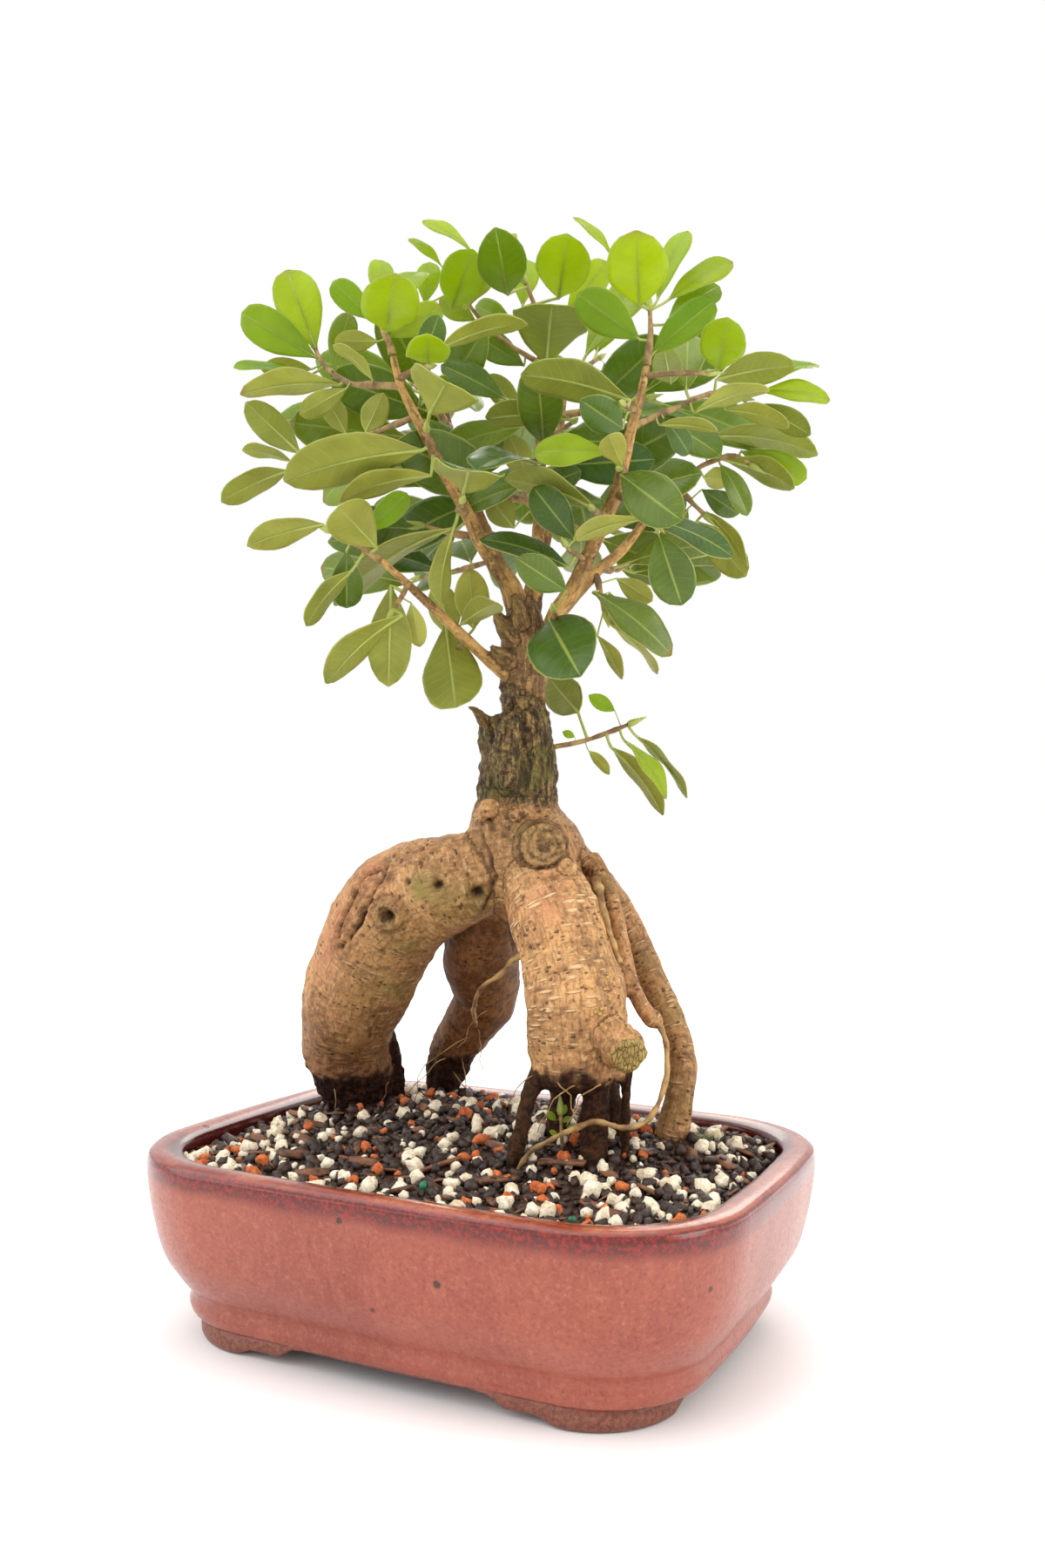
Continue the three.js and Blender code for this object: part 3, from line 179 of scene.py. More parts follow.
class Finish:
    """A material with a Principled shader, whose colour and bumps are built up in layers.

    A colour is the output of a node, or the 0 to 255 numbers of a picture.
    """

    def __init__(self, name, roughness):
        self.material = bpy.data.materials.new(name)
        self.material.use_nodes = True
        self.tree = self.material.node_tree
        self.shader = self.tree.nodes["Principled BSDF"]
        self.output = self.tree.nodes["Material Output"]
        self.shader.inputs["Roughness"].default_value = roughness
        self.here = self.node("TexCoord").outputs["Object"]
        self.colour = None
        self.bumps = None

    def node(self, kind, inputs=None, **settings):
        made = self.tree.nodes.new("ShaderNode" + kind)
        for key, value in settings.items():
            setattr(made, key, value)
        for key, value in (inputs or {}).items():
            self.put(made.inputs[key], value)
        return made

    def put(self, socket, value):
        if isinstance(value, bpy.types.NodeSocket):
            self.tree.links.new(value, socket)
        else:
            socket.default_value = value

    def attribute(self, name, output="Fac"):
        return self.node("Attribute", attribute_name=name).outputs[output]

    def split(self, vector):
        return self.node("SeparateXYZ", {"Vector": vector}).outputs

    def stretched(self, vector, scale):
        return self.node("Mapping", {"Vector": vector, "Scale": scale}).outputs[0]

    def noise(self, vector, scale, detail=3, rough=0.55):
        return self.node("TexNoise", {"Vector": vector, "Scale": scale, "Detail": detail,
                                      "Roughness": rough}).outputs["Fac"]

    def cells(self, vector, scale, feature="F1"):
        return self.node("TexVoronoi", {"Vector": vector, "Scale": scale},
                         feature=feature).outputs["Distance"]

    def math(self, operation, first, second=0.5, third=0.5):
        made = self.node("Math", operation=operation)
        for socket, value in zip(made.inputs, (first, second, third)):
            self.put(socket, value)
        return made.outputs[0]

    def times(self, first, second):
        return self.math("MULTIPLY", first, second)

    def band(self, value, low, high, bottom=0, top=1, smooth=True):
        """The value stretched so that low gives bottom and high gives top."""
        made = self.node("MapRange", {"Value": value, "From Min": low, "From Max": high,
                                      "To Min": bottom, "To Max": top})
        made.interpolation_type = "SMOOTHSTEP" if smooth else "LINEAR"
        return made.outputs[0]

    def blend(self, mask, first, second, mode="MIX"):
        """The second colour over the first, where the mask is 1."""
        made = self.node("Mix", {"Factor": mask}, data_type="RGBA", blend_type=mode)
        for socket, colour in zip((made.inputs[6], made.inputs[7]), (first, second)):
            self.put(socket, shade(*colour) if isinstance(colour, tuple) else colour)
        return made.outputs[2]

    def paint(self, mask, colour, share=None):
        """Lays a colour over the layers so far, where the mask says."""
        if share is not None:
            mask = self.times(mask, share)
        self.colour = self.blend(mask, self.colour, colour)

    def tint(self, colour):
        """Multiplies the layers so far by a colour."""
        return self.blend(1.0, self.colour, colour, "MULTIPLY")

    def press(self, height, distance, strength=1):
        """Adds a bump, its depth in millimetres, to the bumps so far."""
        inputs = {"Height": height, "Distance": distance * MM, "Strength": strength}
        if self.bumps is not None:
            inputs["Normal"] = self.bumps
        self.bumps = self.node("Bump", inputs).outputs[0]

    def done(self, **others):
        """Plugs the layers, the bumps and any other values into the shader."""
        self.put(self.shader.inputs["Base Color"], self.colour)
        if self.bumps is not None:
            self.put(self.shader.inputs["Normal"], self.bumps)
        for key, value in others.items():
            self.put(self.shader.inputs[SOCKETS[key]], value)
        return self.material


# %% [markdown]
# ## Where things are
#
# The plant was measured in one picture, so a place on it is written as a pixel across, a
# pixel down and a depth in millimetres in front of the camera. One function turns that
# into a point in space. The same camera takes the final picture, so what is measured
# lands where it was seen, and the depth keeps it right from the other sides too.

# %% The camera's place and a point seen through it
FOCAL = 1519.9
MIDDLE_X = 600
MIDDLE_Y = 900
EYE = Vector((199.13, -390.03, 162.5)) * MM
FORWARD = Vector((-0.43454, 0.90019, 0.02888))
RIGHT = Vector((0.90065, 0.4343, 0.01461))
UP = Vector((-0.00061, -0.03236, 0.99948))
SENSOR = 36
ANY_DEPTH = 400


def seen(px, py, depth):
    """The point at a pixel of the picture, at a depth in millimetres."""
    reach = depth * MM
    return (EYE + FORWARD * reach + RIGHT * (reach * (px - MIDDLE_X) / FOCAL)
            + UP * (reach * (MIDDLE_Y - py) / FOCAL))


def pixel_of(point):
    """The pixel and the depth of a point, the other way round from seen."""
    offset = point - EYE
    depth = offset.dot(FORWARD)
    return (MIDDLE_X + FOCAL * offset.dot(RIGHT) / depth,
            MIDDLE_Y - FOCAL * offset.dot(UP) / depth, depth / MM)


def behind(rays, px, py):
    """The first place behind a pixel on a surface, or None."""
    return rays.ray_cast(EYE, (seen(px, py, ANY_DEPTH) - EYE).normalized())[0]


camera_data = bpy.data.cameras.new("camera")
camera_data.sensor_width = SENSOR
camera_data.lens = SENSOR * FOCAL / (2 * MIDDLE_Y)
camera_data.clip_start, camera_data.clip_end = 0.01, 20
camera = added("camera", camera_data)
turn = Matrix((RIGHT, UP, -FORWARD)).transposed()
camera.matrix_world = Matrix.Translation(EYE) @ turn.to_4x4()
bpy.context.scene.camera = camera
print("lens", round(camera_data.lens, 1), "mm")

# %% [markdown]
# ## Light and floor
#
# The plant was photographed in a white light tent: light comes from all round, a little
# stronger from above and from the right, and the shadow under the pot is soft. A white
# world gives the all-round light and a very broad, soft sun the glow of the tent's roof.
# Large area lights give the glaze its long highlights, and the one behind the crown
# shines through the upper leaves.

# %% A white surround, three large lights and the glow of the roof
world = bpy.data.worlds.new("white_tent")
world.use_nodes = True
background = world.node_tree.nodes["Background"].inputs
background["Color"].default_value = (1, 1, 1, 1)
background["Strength"].default_value = 1
bpy.context.scene.world = world
bpy.context.scene.view_settings.view_transform = "Standard"

WARM_WHITE = (1, 0.97, 0.92)
AREA_LIGHTS = {  # place, what it looks at, size in metres, power in watts
    "roof": ((0.1, -0.1, 1.1), (0, 0, 0.15), 0.9, 3),
    "right_wall": ((1.0, 0.05, 0.55), (0, 0, 0.1), 0.6, 4),
    "back_light": ((-0.25, 0.9, 0.75), (0, 0, 0.28), 0.7, 4),
}
for name, (place, aim, size, power) in AREA_LIGHTS.items():
    light = bpy.data.lights.new(name, "AREA")
    light.size, light.energy, light.color = size, power, WARM_WHITE
    lamp = added(name, light)
    lamp.location = place
    lamp.rotation_euler = (Vector(aim) - Vector(place)).to_track_quat("-Z", "Y").to_euler()
sky = bpy.data.lights.new("tent_roof", "SUN")
sky.energy, sky.angle = 1.45, 1.2
added("tent_roof", sky).rotation_euler = (math.radians(30), math.radians(-42), 0)
print(len(bpy.data.lights), "lights")

# %% The floor
floor_grid = bmesh.new()
bmesh.ops.create_grid(floor_grid, x_segments=2, y_segments=2, size=4)
floor = added("floor", mesh_of("floor", floor_grid, outward=False))
white_card = Finish("white_card", 0.9)
white_card.colour = (0.95, 0.95, 0.95, 1)
floor.data.materials.append(white_card.done())

# %% [markdown]
# ## The tree's limbs
#
# Roots, neck, graft stump and branches grew as one piece. Each limb is a row of stations
# along its middle: pixel across, pixel down, depth, half width in pixels. A tube through
# each row, all melted together, makes a body without seams, which is how wood grows.

# %% Stations of every limb
LIMBS = {
    "left_root": [
        [592, 985, 443, 44], [546, 1004, 445, 50], [503, 1018, 449, 59], [467, 1034, 455, 64],
        [446, 1058, 461, 65], [429, 1090, 466, 64], [412, 1131, 471, 61], [401, 1168, 475, 56],
        [398, 1202, 478, 48], [408, 1236, 480, 44], [415, 1268, 480, 36], [420, 1300, 480, 18],
    ],
    "left_root_prong": [
        [430, 1180, 482, 22], [446, 1215, 484, 16], [452, 1245, 485, 13], [455, 1285, 485, 7],
    ],
    "front_root": [
        [600, 972, 440, 38], [618, 1008, 433, 45], [636, 1048, 426, 52], [649, 1090, 421, 53],
        [659, 1135, 417, 57], [664, 1180, 415, 58], [666, 1216, 414, 57], [667, 1238, 414, 51],
        [668, 1246, 414, 38],
    ],
    "front_prong_0": [
        [626, 1228, 412, 15], [609, 1252, 409, 11], [600, 1290, 408, 9.5], [591, 1327, 407, 10],
        [588, 1350, 407, 6],
    ],
    "front_prong_1": [
        [684, 1225, 410, 24], [684, 1258, 409, 17], [682, 1300, 408, 16], [683, 1330, 408, 17],
        [683, 1352, 408, 9],
    ],
    "front_prong_2": [
        [716, 1228, 412, 12], [719, 1250, 412, 7], [718, 1285, 412, 6.5], [718, 1335, 412, 5],
    ],
    "front_prong_3": [
        [650, 1225, 426, 22], [646, 1262, 428, 15], [640, 1300, 430, 14], [636, 1335, 430, 8],
    ],
    "front_prong_4": [
        [690, 1225, 426, 18], [704, 1262, 428, 10], [708, 1300, 429, 9], [708, 1330, 429, 5],
    ],
    "back_root": [
        [590, 1005, 452, 34], [566, 1050, 466, 41], [553, 1100, 478, 44], [558, 1143, 485, 38],
        [541, 1172, 491, 32], [522, 1201, 497, 27], [512, 1232, 501, 22], [508, 1262, 503, 16],
        [508, 1290, 503, 8],
    ],
    "right_root": [
        [650, 990, 445, 30], [690, 1026, 449, 25], [722, 1070, 446, 20], [748, 1122, 441, 17.5],
        [772, 1176, 436, 16.5], [783, 1216, 432, 16.5], [781, 1256, 430, 17],
        [771, 1300, 429, 19], [766, 1322, 429, 14], [764, 1345, 429, 7],
    ],
    "slender_root": [
        [676, 985, 438, 14], [697, 1018, 432, 10], [711, 1066, 426, 9], [724, 1125, 421, 9],
        [740, 1160, 419, 10], [752, 1172, 418, 12], [760, 1178, 418, 6],
    ],
    "cut_stub": [[690, 1185, 408, 26], [712, 1200, 399, 25], [722, 1212, 393, 23]],
    "neck": [
        [592, 900, 443, 43], [592, 930, 443, 49], [597, 957, 443, 60], [606, 985, 444, 66],
        [614, 1015, 446, 58], [614, 1050, 450, 34],
    ],
    "burl": [
        [614, 974, 436, 36], [621, 971, 425, 31], [623, 970, 420.5, 25], [623, 970, 419.5, 13],
    ],
    "knot_0": [[564, 932, 436, 15], [561, 930, 428, 12], [561, 930, 426.5, 7]],
    "knot_1": [[592, 936, 433, 13], [591, 935, 426.5, 10], [591, 935, 425.5, 6]],
    "knot_2": [[640, 1000, 428, 16], [652, 996, 420, 11], [655, 996, 418, 6]],
    "stump": [[592, 938, 443, 46], [594, 890, 443, 45], [592, 850, 443, 41], [589, 821, 443, 39]],
    "stump_plate": [
        [583, 905, 428, 13], [582, 860, 429, 15], [583, 826, 430, 12], [583, 818, 431, 7],
    ],
    "trunk": [
        [601, 850, 443, 27], [602, 815, 443, 26], [603, 775, 443, 26], [601, 740, 443, 27],
        [602, 712, 443, 24], [602, 696, 443, 15],
    ],
    "stub_0": [[590, 735, 438, 12], [574, 712, 436, 9], [569, 698, 435, 4]],
    "stub_1": [[600, 715, 436, 10], [592, 690, 433, 8], [590, 680, 433, 4]],
    "stub_2": [[606, 720, 446, 10], [617, 692, 448, 7], [619, 678, 449, 3]],
    "stub_3": [[585, 760, 436, 9], [568, 745, 432, 6], [563, 740, 431, 3]],
    "stub_4": [[556, 828, 436, 9], [546, 815, 432, 5], [536, 811, 430, 2.6]],
    "branch_left": [
        [601, 722, 443, 15], [591, 681, 440, 12], [570, 649, 437, 11], [551, 619, 434, 9.5],
        [535, 587, 432, 8.5], [508, 539, 428, 7.6], [489, 501, 424, 7], [471, 466, 420, 6.4],
        [459, 440, 417, 5.6], [451, 407, 415, 5],
    ],
    "branch_right": [
        [597, 785, 441, 15], [627, 742, 438, 13], [639, 705, 435, 11.5], [658, 677, 432, 10.5],
        [678, 632, 428, 9.5], [695, 596, 424, 8.8], [709, 562, 421, 8], [723, 501, 417, 7],
        [734, 461, 414, 6.2], [743, 418, 412, 5.4],
    ],
    "branch_middle": [
        [603, 712, 446, 13], [613, 669, 449, 10], [619, 600, 453, 7.5], [620, 530, 456, 6.4],
        [620, 470, 458, 5.6], [620, 400, 459, 4.6],
    ],
    "branch_lowLeft": [
        [590, 778, 441, 10], [568, 764, 437, 8], [505, 705, 426, 6.6], [462, 665, 418, 5.6],
        [436, 642, 412, 4.8],
    ],
    "branch_lowRight": [
        [640, 706, 437, 10], [655, 688, 442, 9], [686, 655, 450, 7.4], [714, 632, 456, 6.6],
        [748, 588, 464, 5.6], [778, 552, 469, 4.8],
    ],
    "branch_backLeft": [
        [598, 722, 448, 12], [578, 660, 456, 9], [552, 595, 464, 7], [526, 525, 471, 5.6],
        [508, 460, 476, 4.8],
    ],
    "branch_back": [
        [606, 722, 449, 12], [620, 650, 458, 9], [634, 570, 467, 7], [644, 490, 474, 5.6],
        [650, 420, 478, 4.8],
    ],
}
THIN_ROOTS = {
    "dead_root": [
        [684, 1010, 430, 7], [692, 1045, 421, 4.5], [703, 1080, 418, 4], [712, 1104, 419, 4],
    ],
    "aerial_root": [
        [757, 1176, 417, 5], [765, 1200, 415, 3.4], [765, 1238, 413, 3.2], [757, 1265, 411, 3.2],
        [742, 1288, 408, 3.2], [716, 1295, 404, 3.2], [684, 1288, 401, 3.2],
        [650, 1299, 400, 3.2], [626, 1312, 401, 3], [606, 1326, 403, 3], [594, 1346, 405, 3],
    ],
    "root_loop": [
        [624, 1084, 429, 5], [596, 1098, 440, 4], [574, 1118, 446, 2.8], [552, 1135, 452, 2.6],
        [544, 1158, 462, 2.6], [548, 1182, 482, 2.8],
    ],
}
print(len(LIMBS), "limbs and", len(THIN_ROOTS), "thin roots")


# %% A smooth path through stations
def cubic(a, b, c, d, t):
    """The curve from b to c that also heads the way of its neighbours."""
    return (b * 2 + (c - a) * t + (a * 2 - b * 5 + c * 4 - d) * (t * t)
            + (b * 3 - a - c * 3 + d) * (t * t * t)) * 0.5


def station_points(stations):
    return [(seen(px, py, depth), half * depth / FOCAL * MM) for px, py, depth, half in stations]


def smooth_path(stations, step):
    """Points with a radius, about a step apart, on a curve through the stations."""
    rows = station_points(stations)
    rows = [rows[0], *rows, rows[-1]]
    path = []
    for before, start, end, after in zip(rows, rows[1:], rows[2:], rows[3:]):
        count = max(1, round((end[0] - start[0]).length / step))
        for i in range(count):
            t = i / count
            radius = cubic(before[1], start[1], end[1], after[1], t)
            path.append((cubic(before[0], start[0], end[0], after[0], t),
                         max(radius, 0.8 * min(start[1], end[1]))))
    return [*path, rows[-1]]


def framed(path):
    """The path with, at each point, the way it runs and a direction square to it."""
    rows = []
    across = FORWARD
    for i, (point, radius) in enumerate(path):
        way = (path[min(i + 1, len(path) - 1)][0] - path[max(i - 1, 0)][0]).normalized()
        across = across - way * across.dot(way)
        if across.length < 0.2:
            across = way.orthogonal()
        across.normalize()
        rows.append((point, radius, way, across))
    return rows


# %% A tube along a path: circles, bridged one to the next
def tube(path, sides, finish_index=0):
    """A bmesh with a closed round tube along a path."""
    bm = bmesh.new()
    last = []
    for i, (point, radius, way, across) in enumerate(framed(path)):
        turn = Matrix((across, way.cross(across), way)).transposed().to_4x4()
        at_end = i in (0, len(path) - 1)
        ring = bmesh.ops.create_circle(bm, cap_ends=at_end, radius=radius, segments=sides,
                                       matrix=Matrix.Translation(point) @ turn)
        edges = list({edge for vert in ring["verts"] for edge in vert.link_edges})
        if last:
            bmesh.ops.bridge_loops(bm, edges=last + edges)
        last = edges
    bmesh.ops.recalc_face_normals(bm, faces=bm.faces)
    for face in bm.faces:
        face.material_index = finish_index
    return bm


limb_paths = {name: smooth_path(stations, 2 * MM) for name, stations in LIMBS.items()}
print(sum(map(len, limb_paths.values())), "circles in the limbs")

# %% [markdown]
# ## One body of wood
#
# The tubes overlap, and a voxel remesh keeps only the outer skin of them all. Its grid is
# 0.9 mm, fine enough for the rims of the scars. A few passes of smoothing take the steps
# of the grid away and leave a soft fillet where two roots meet, as on the real neck.

# %% Melt the tubes into one skin
VOXEL = 0.9 * MM
LIMB_SIDES = 28
SMOOTHING_PASSES = 5
rough_tree = added("rough_tree", mesh_of("rough_tree", joined(
    [tube(path, LIMB_SIDES) for path in limb_paths.values()])))
remesh = rough_tree.modifiers.new("melt", "REMESH")
remesh.mode = "VOXEL"
remesh.voxel_size = VOXEL
tree_mesh = with_modifiers(rough_tree)
skin = bmesh.new()
skin.from_mesh(tree_mesh)
bpy.data.meshes.remove(tree_mesh)
for _ in range(SMOOTHING_PASSES):
    bmesh.ops.smooth_vert(skin, verts=skin.verts, factor=0.5, use_axis_x=True, use_axis_y=True,
                          use_axis_z=True)
print(len(skin.verts), "points on the bark")

# %% [markdown]
# ## Whose bark is it?
#
# Bark runs along its limb: lenticels lie across it, folds run with it. So each point of the
# skin is given to the limb whose tube is nearest, and gets its place in that limb's own
# frame: across, outward and along. Materials read that place, and no seam shows, because
# it is a place in space and not an angle.

# %% Give each point to its nearest limb
POINTS_AT_ONCE = 4000
LIMB_SHIFT = 0.37  # sets each limb's pattern apart from the next limb's
skin.verts.ensure_lookup_table()
points = np.array([vert.co for vert in skin.verts])
sample_rows = []
for number, path in enumerate(limb_paths.values()):
    length = 0
    rows = framed(path)
    for i, (point, radius, way, across) in enumerate(rows):
        if i:
            length += (point - rows[i - 1][0]).length
        sample_rows.append([*point, radius, *way, *across, *way.cross(across), length, number])
samples = np.array(sample_rows)

nearest = np.empty(len(points), int)
for start in range(0, len(points), POINTS_AT_ONCE):
    some = points[start:start + POINTS_AT_ONCE]
    square = ((some ** 2).sum(1)[:, None] + (samples[:, :3] ** 2).sum(1)[None]
              - 2 * some @ samples[:, :3].T)
    off_skin = np.sqrt(np.maximum(square, 0)) - samples[:, 3]
    nearest[start:start + POINTS_AT_ONCE] = off_skin.argmin(1)
own = samples[nearest]
offset = points - own[:, :3]
limb_place = np.stack([
    (offset * own[:, 7:10]).sum(1),
    (offset * own[:, 10:13]).sum(1),
    own[:, 13] + (offset * own[:, 4:7]).sum(1) + own[:, 14] * LIMB_SHIFT,
], 1)
limb_radius = own[:, 3]
limb_number = own[:, 14].astype(int)
print("bark given to", len(set(limb_number)), "limbs")


# %% Values on part of the bark
links = [[edge.other_vert(vert).index for edge in vert.link_edges] for vert in skin.verts]


def of_limbs(*names):
    """1 for each point on one of these limbs, 0 elsewhere."""
    wanted = [number for number, name in enumerate(limb_paths) if name.startswith(names)]
    return np.isin(limb_number, wanted).astype(float)


def softened(values, rounds):
    """The values spread into their neighbours, so that no hard border is left."""
    for _ in range(rounds):
        values = np.array([(values[i] + sum(values[k] for k in near) / len(near)) / 2
                           for i, near in enumerate(links)])
    return values


# %% [markdown]
# ## Scars, knots and folds
#
# A ficus keeps every wound. The left root has a long lens-shaped scar, an old knot with a
# hollow heart and two small holes. The burl under the neck has growth rings, and the sawn
# root stub has a cracked face. A ray from the camera finds where each lies on the bark,
# and the bark round it is pushed in or out. Its pits, cracks, creases and the valleys of
# its folds and rings are also darkened: painted shade.

# %% Find places on the bark
bark_rays = BVHTree.FromBMesh(skin)


def away_from(*pixels):
    """How far each point of the bark is from a place on it, or from a line of places."""
    places = [np.array(behind(bark_rays, *pixel)) for pixel in pixels]
    if len(places) == 1:
        return np.linalg.norm(points - places[0], axis=1)
    best = np.full(len(points), 1.0)
    for a, b in zip(places, places[1:]):
        span = b - a
        t = np.clip(((points - a) @ span) / (span @ span), 0, 1)
        best = np.minimum(best, np.linalg.norm(points - a - t[:, None] * span, axis=1))
    return best


def bell(distance, width):
    """1 at no distance, falling to nothing over a few widths. The width is in millimetres."""
    return np.exp(-(distance / (width * MM)) ** 2)


# %% Carve the scar, the holes, the knot and the folds
SCAR_SIDES = [[(443, 997), (421, 1004), (403, 1037), (389, 1067), (391, 1088)],
              [(443, 997), (439, 1008), (421, 1040), (413, 1062), (391, 1088)]]
HOLES = [(446, 1051, 2.1, 2.6), (503, 1015, 1.5, 2.4), (549, 1026, 2.3, 2.2),
         (562, 943, 1.4, 1.6), (469, 1013, 0.9, 0.8), (611, 1088, 0.7, 0.8)]
KNOT = (446, 1051)
KNOT_RADIUS = 3.6 * MM
CREASES = [([(552, 960), (562, 985), (567, 1005), (563, 1030), (556, 1046)], 1.5),
           ([(652, 985), (668, 1002), (684, 1030)], 1.2),
           ([(563, 952), (585, 962), (596, 985)], 0.9),
           ([(536, 962), (552, 975), (560, 1000)], 0.7),
           ([(600, 1030), (585, 1060), (590, 1090)], 0.8)]
FOLDED = [(623, 970, 9, 4), (561, 930, 5, 2.5), (591, 935, 4, 2), (446, 1051, 6.5, 1.6)]

torn = noise_at(points / (2.2 * MM))
scar_lines = [away_from(*side) for side in SCAR_SIDES]
crack = np.abs(np.minimum(*scar_lines) + 0.9 * MM * torn)
scar_floor = bell(sum(scar_lines) - 6 * MM, 4) * (sum(scar_lines) < 11 * MM)
carved = (-1.5 * bell(crack, 0.8) + 0.8 * bell(crack - 1.8 * MM, 0.8)
          - scar_floor * (0.4 + 0.9 * torn))
# Painted shade: the cracks, holes, creases and fold valleys are darkened as well as carved.
pit_shade = 1.1 * bell(crack, 0.55) + 0.35 * scar_floor * (torn < -0.1)
for px, py, radius, depth in HOLES:
    distance = away_from((px, py)) + 0.6 * MM * torn
    carved += 0.5 * bell(distance - 1.7 * radius * MM, 0.8) - depth * bell(distance, radius)
    pit_shade += 1.4 * bell(distance, radius * 0.9)
ring_distance = away_from(KNOT)
carved += 2 * bell(ring_distance - KNOT_RADIUS, 1.1)
pit_shade += 0.4 * bell(ring_distance - 1.5 * KNOT_RADIUS, 0.5)
for crease, depth in CREASES:
    distance = away_from(*crease) + 0.7 * MM * torn
    carved -= depth * bell(distance, 0.9)
    pit_shade += 0.55 * depth * bell(distance, 0.7)
for px, py, start, reach in FOLDED:
    distance = away_from((px, py)) + 0.8 * MM * torn
    fold = np.sin(distance / (0.62 * MM)) * bell(distance - start * MM, reach)
    carved += 0.6 * fold
    pit_shade += 0.7 * np.maximum(0, -fold - 0.4)
print("deepest pit", round(carved.min(), 2), "mm")

# %% Growth rings on the burl, the collar of the sawn stub, rough bark on the stump
OLD_BARK_FROM = 168  # height in millimetres
rho = np.hypot(limb_place[:, 0], limb_place[:, 1])
burl, stub = of_limbs("burl"), of_limbs("cut_stub")
growth = np.sin(rho / (0.42 * MM) + 1.5 * torn)
carved += burl * (0.5 * growth + 1.3 * bell(rho - 6.4 * MM, 1.3) - 0.8 * bell(rho, 1.5))
# Painted shade round the burl's rim, in its hollow centre and in the valleys of its rings.
pit_shade += burl * (0.45 * bell(rho - 8 * MM, 1.0) + 0.7 * bell(rho, 1.3)
                    + 0.6 * np.maximum(0, -growth - 0.1) * (rho < 7.5 * MM))
stub_end, stub_before = limb_paths["cut_stub"][-1][0], limb_paths["cut_stub"][-3][0]
beyond = (points - np.array(stub_end)) @ np.array((stub_end - stub_before).normalized())
sawn_face = stub * (beyond > -0.7 * MM)
carved += stub * (0.6 * np.sin((beyond + 1 * MM) / (0.8 * MM) + torn) + 0.3 * torn)
carved += 0.35 * sawn_face * np.sin(rho / (0.5 * MM))
old_edge = (OLD_BARK_FROM + 5 * noise_at(points / (9 * MM)) + 2 * torn) * MM
above = np.clip((points[:, 2] - old_edge) / (2 * MM) + 0.5, 0, 1)
rough = softened(
    above * np.maximum(of_limbs("stump", "neck"), 0.55 * of_limbs("trunk", "stub_")), 2)
print(int(burl.sum()), "points on the burl,", int(sawn_face.sum()), "on the sawn face")

# %% Lumps and folds of the bark itself
SOIL_LINE = 84 * MM
slim = np.clip(limb_radius / (9 * MM), 0.12, 1)
lumps = noise_at(points / (13 * MM))
small_lumps = noise_at(points / (4.5 * MM))
folds = noise_at(limb_place * (1 / (3.2 * MM), 1 / (3.2 * MM), 1 / (13 * MM)))
wrinkles = noise_at(limb_place * (90, 90, 330))
crags = np.array([noise.ridged_multi_fractal(Vector(p), 0.9, 2.1, 4, 1.0, 2.0)
                  for p in points / (9 * MM)]) - 1.1
soiled = np.clip((SOIL_LINE - points[:, 2]) / (9 * MM), 0, 1) * (1 - of_limbs("right_root"))
height = (slim * (0.85 * lumps + 0.4 * small_lumps + 0.2 * folds + 0.34 * wrinkles + 0.12 * torn)
          + rough * (0.7 * crags + 0.7 * folds + 0.6 * torn) * np.clip(slim * 2.2, 0, 1)
          + soiled * np.clip(slim * 2, 0, 1) * (0.8 * torn + 0.5 * crags) + carved)
skin.normal_update()
out = np.array([vert.normal for vert in skin.verts])
raised = points + out * height[:, None] * MM
for vert, place in zip(skin.verts, raised):
    vert.co = place
print("bark relief from", round(height.min(), 2), "to", round(height.max(), 2), "mm")

# %% [markdown]
# ## What the bark is marked with
#
# Soil has stained the feet of the roots nearly black, algae tint the shaded side green, a
# pink blush lies where the left root catches the light, and lenticels are dashes on the
# front root but dots on the left one. Shade is painted on too: the limbs that lie behind or
# under others, the low parts of the left and front roots, and the pits, cracks and valleys
# are darkened. On the back root part of it is the darker, damp bark itself. These marks
# follow places on the plant, so they are painted on the points of the mesh, and the
# material reads them.

# %% Paint the marks on the points
STAIN_TOP = {  # height in millimetres that the soil's stain reaches, and how dark it is
    "left_root": (72, 1), "left_root_prong": (92, 1), "front_root": (86, 0.85),
    "front_prong": (93, 0.8), "back_root": (76, 0.8), "right_root": (60, 0.8)}
# How much each limb is darkened: painted shade on the limbs that lie behind or under others; on
# the back root part of it is the darker, damp bark itself.
SHADE_AND_DARK_BARK = {"back_root": 0.8, "right_root": 0.3, "slender_root": 0.25, "neck": 0.3, "burl": 0.25,
       "branch_back": 0.4, "left_root": 0.12}
wobble = (4 * lumps + 3 * small_lumps + 4 * torn) * MM
stain = np.zeros(len(points))
for start, (top, strength) in STAIN_TOP.items():
    below = (top * MM + wobble - raised[:, 2]) / (4 * MM)
    stain = np.maximum(stain, strength * of_limbs(start) * np.clip(below + 0.5, 0, 1))
dim = sum(share * of_limbs(start) for start, share in SHADE_AND_DARK_BARK.items())
# Painted shade: the left and front roots get darker towards the bottom.
low = np.clip((112 * MM + 9 * MM * lumps - raised[:, 2]) / (45 * MM), 0, 1)
low = low * (0.85 * of_limbs("left_root") + 0.35 * of_limbs("front_root"))


def patch(spots):
    """A soft patch on the bark round each (pixel across, pixel down, radius in mm)."""
    return np.clip(sum(bell(away_from((px, py)), radius) for px, py, radius in spots), 0, 1)


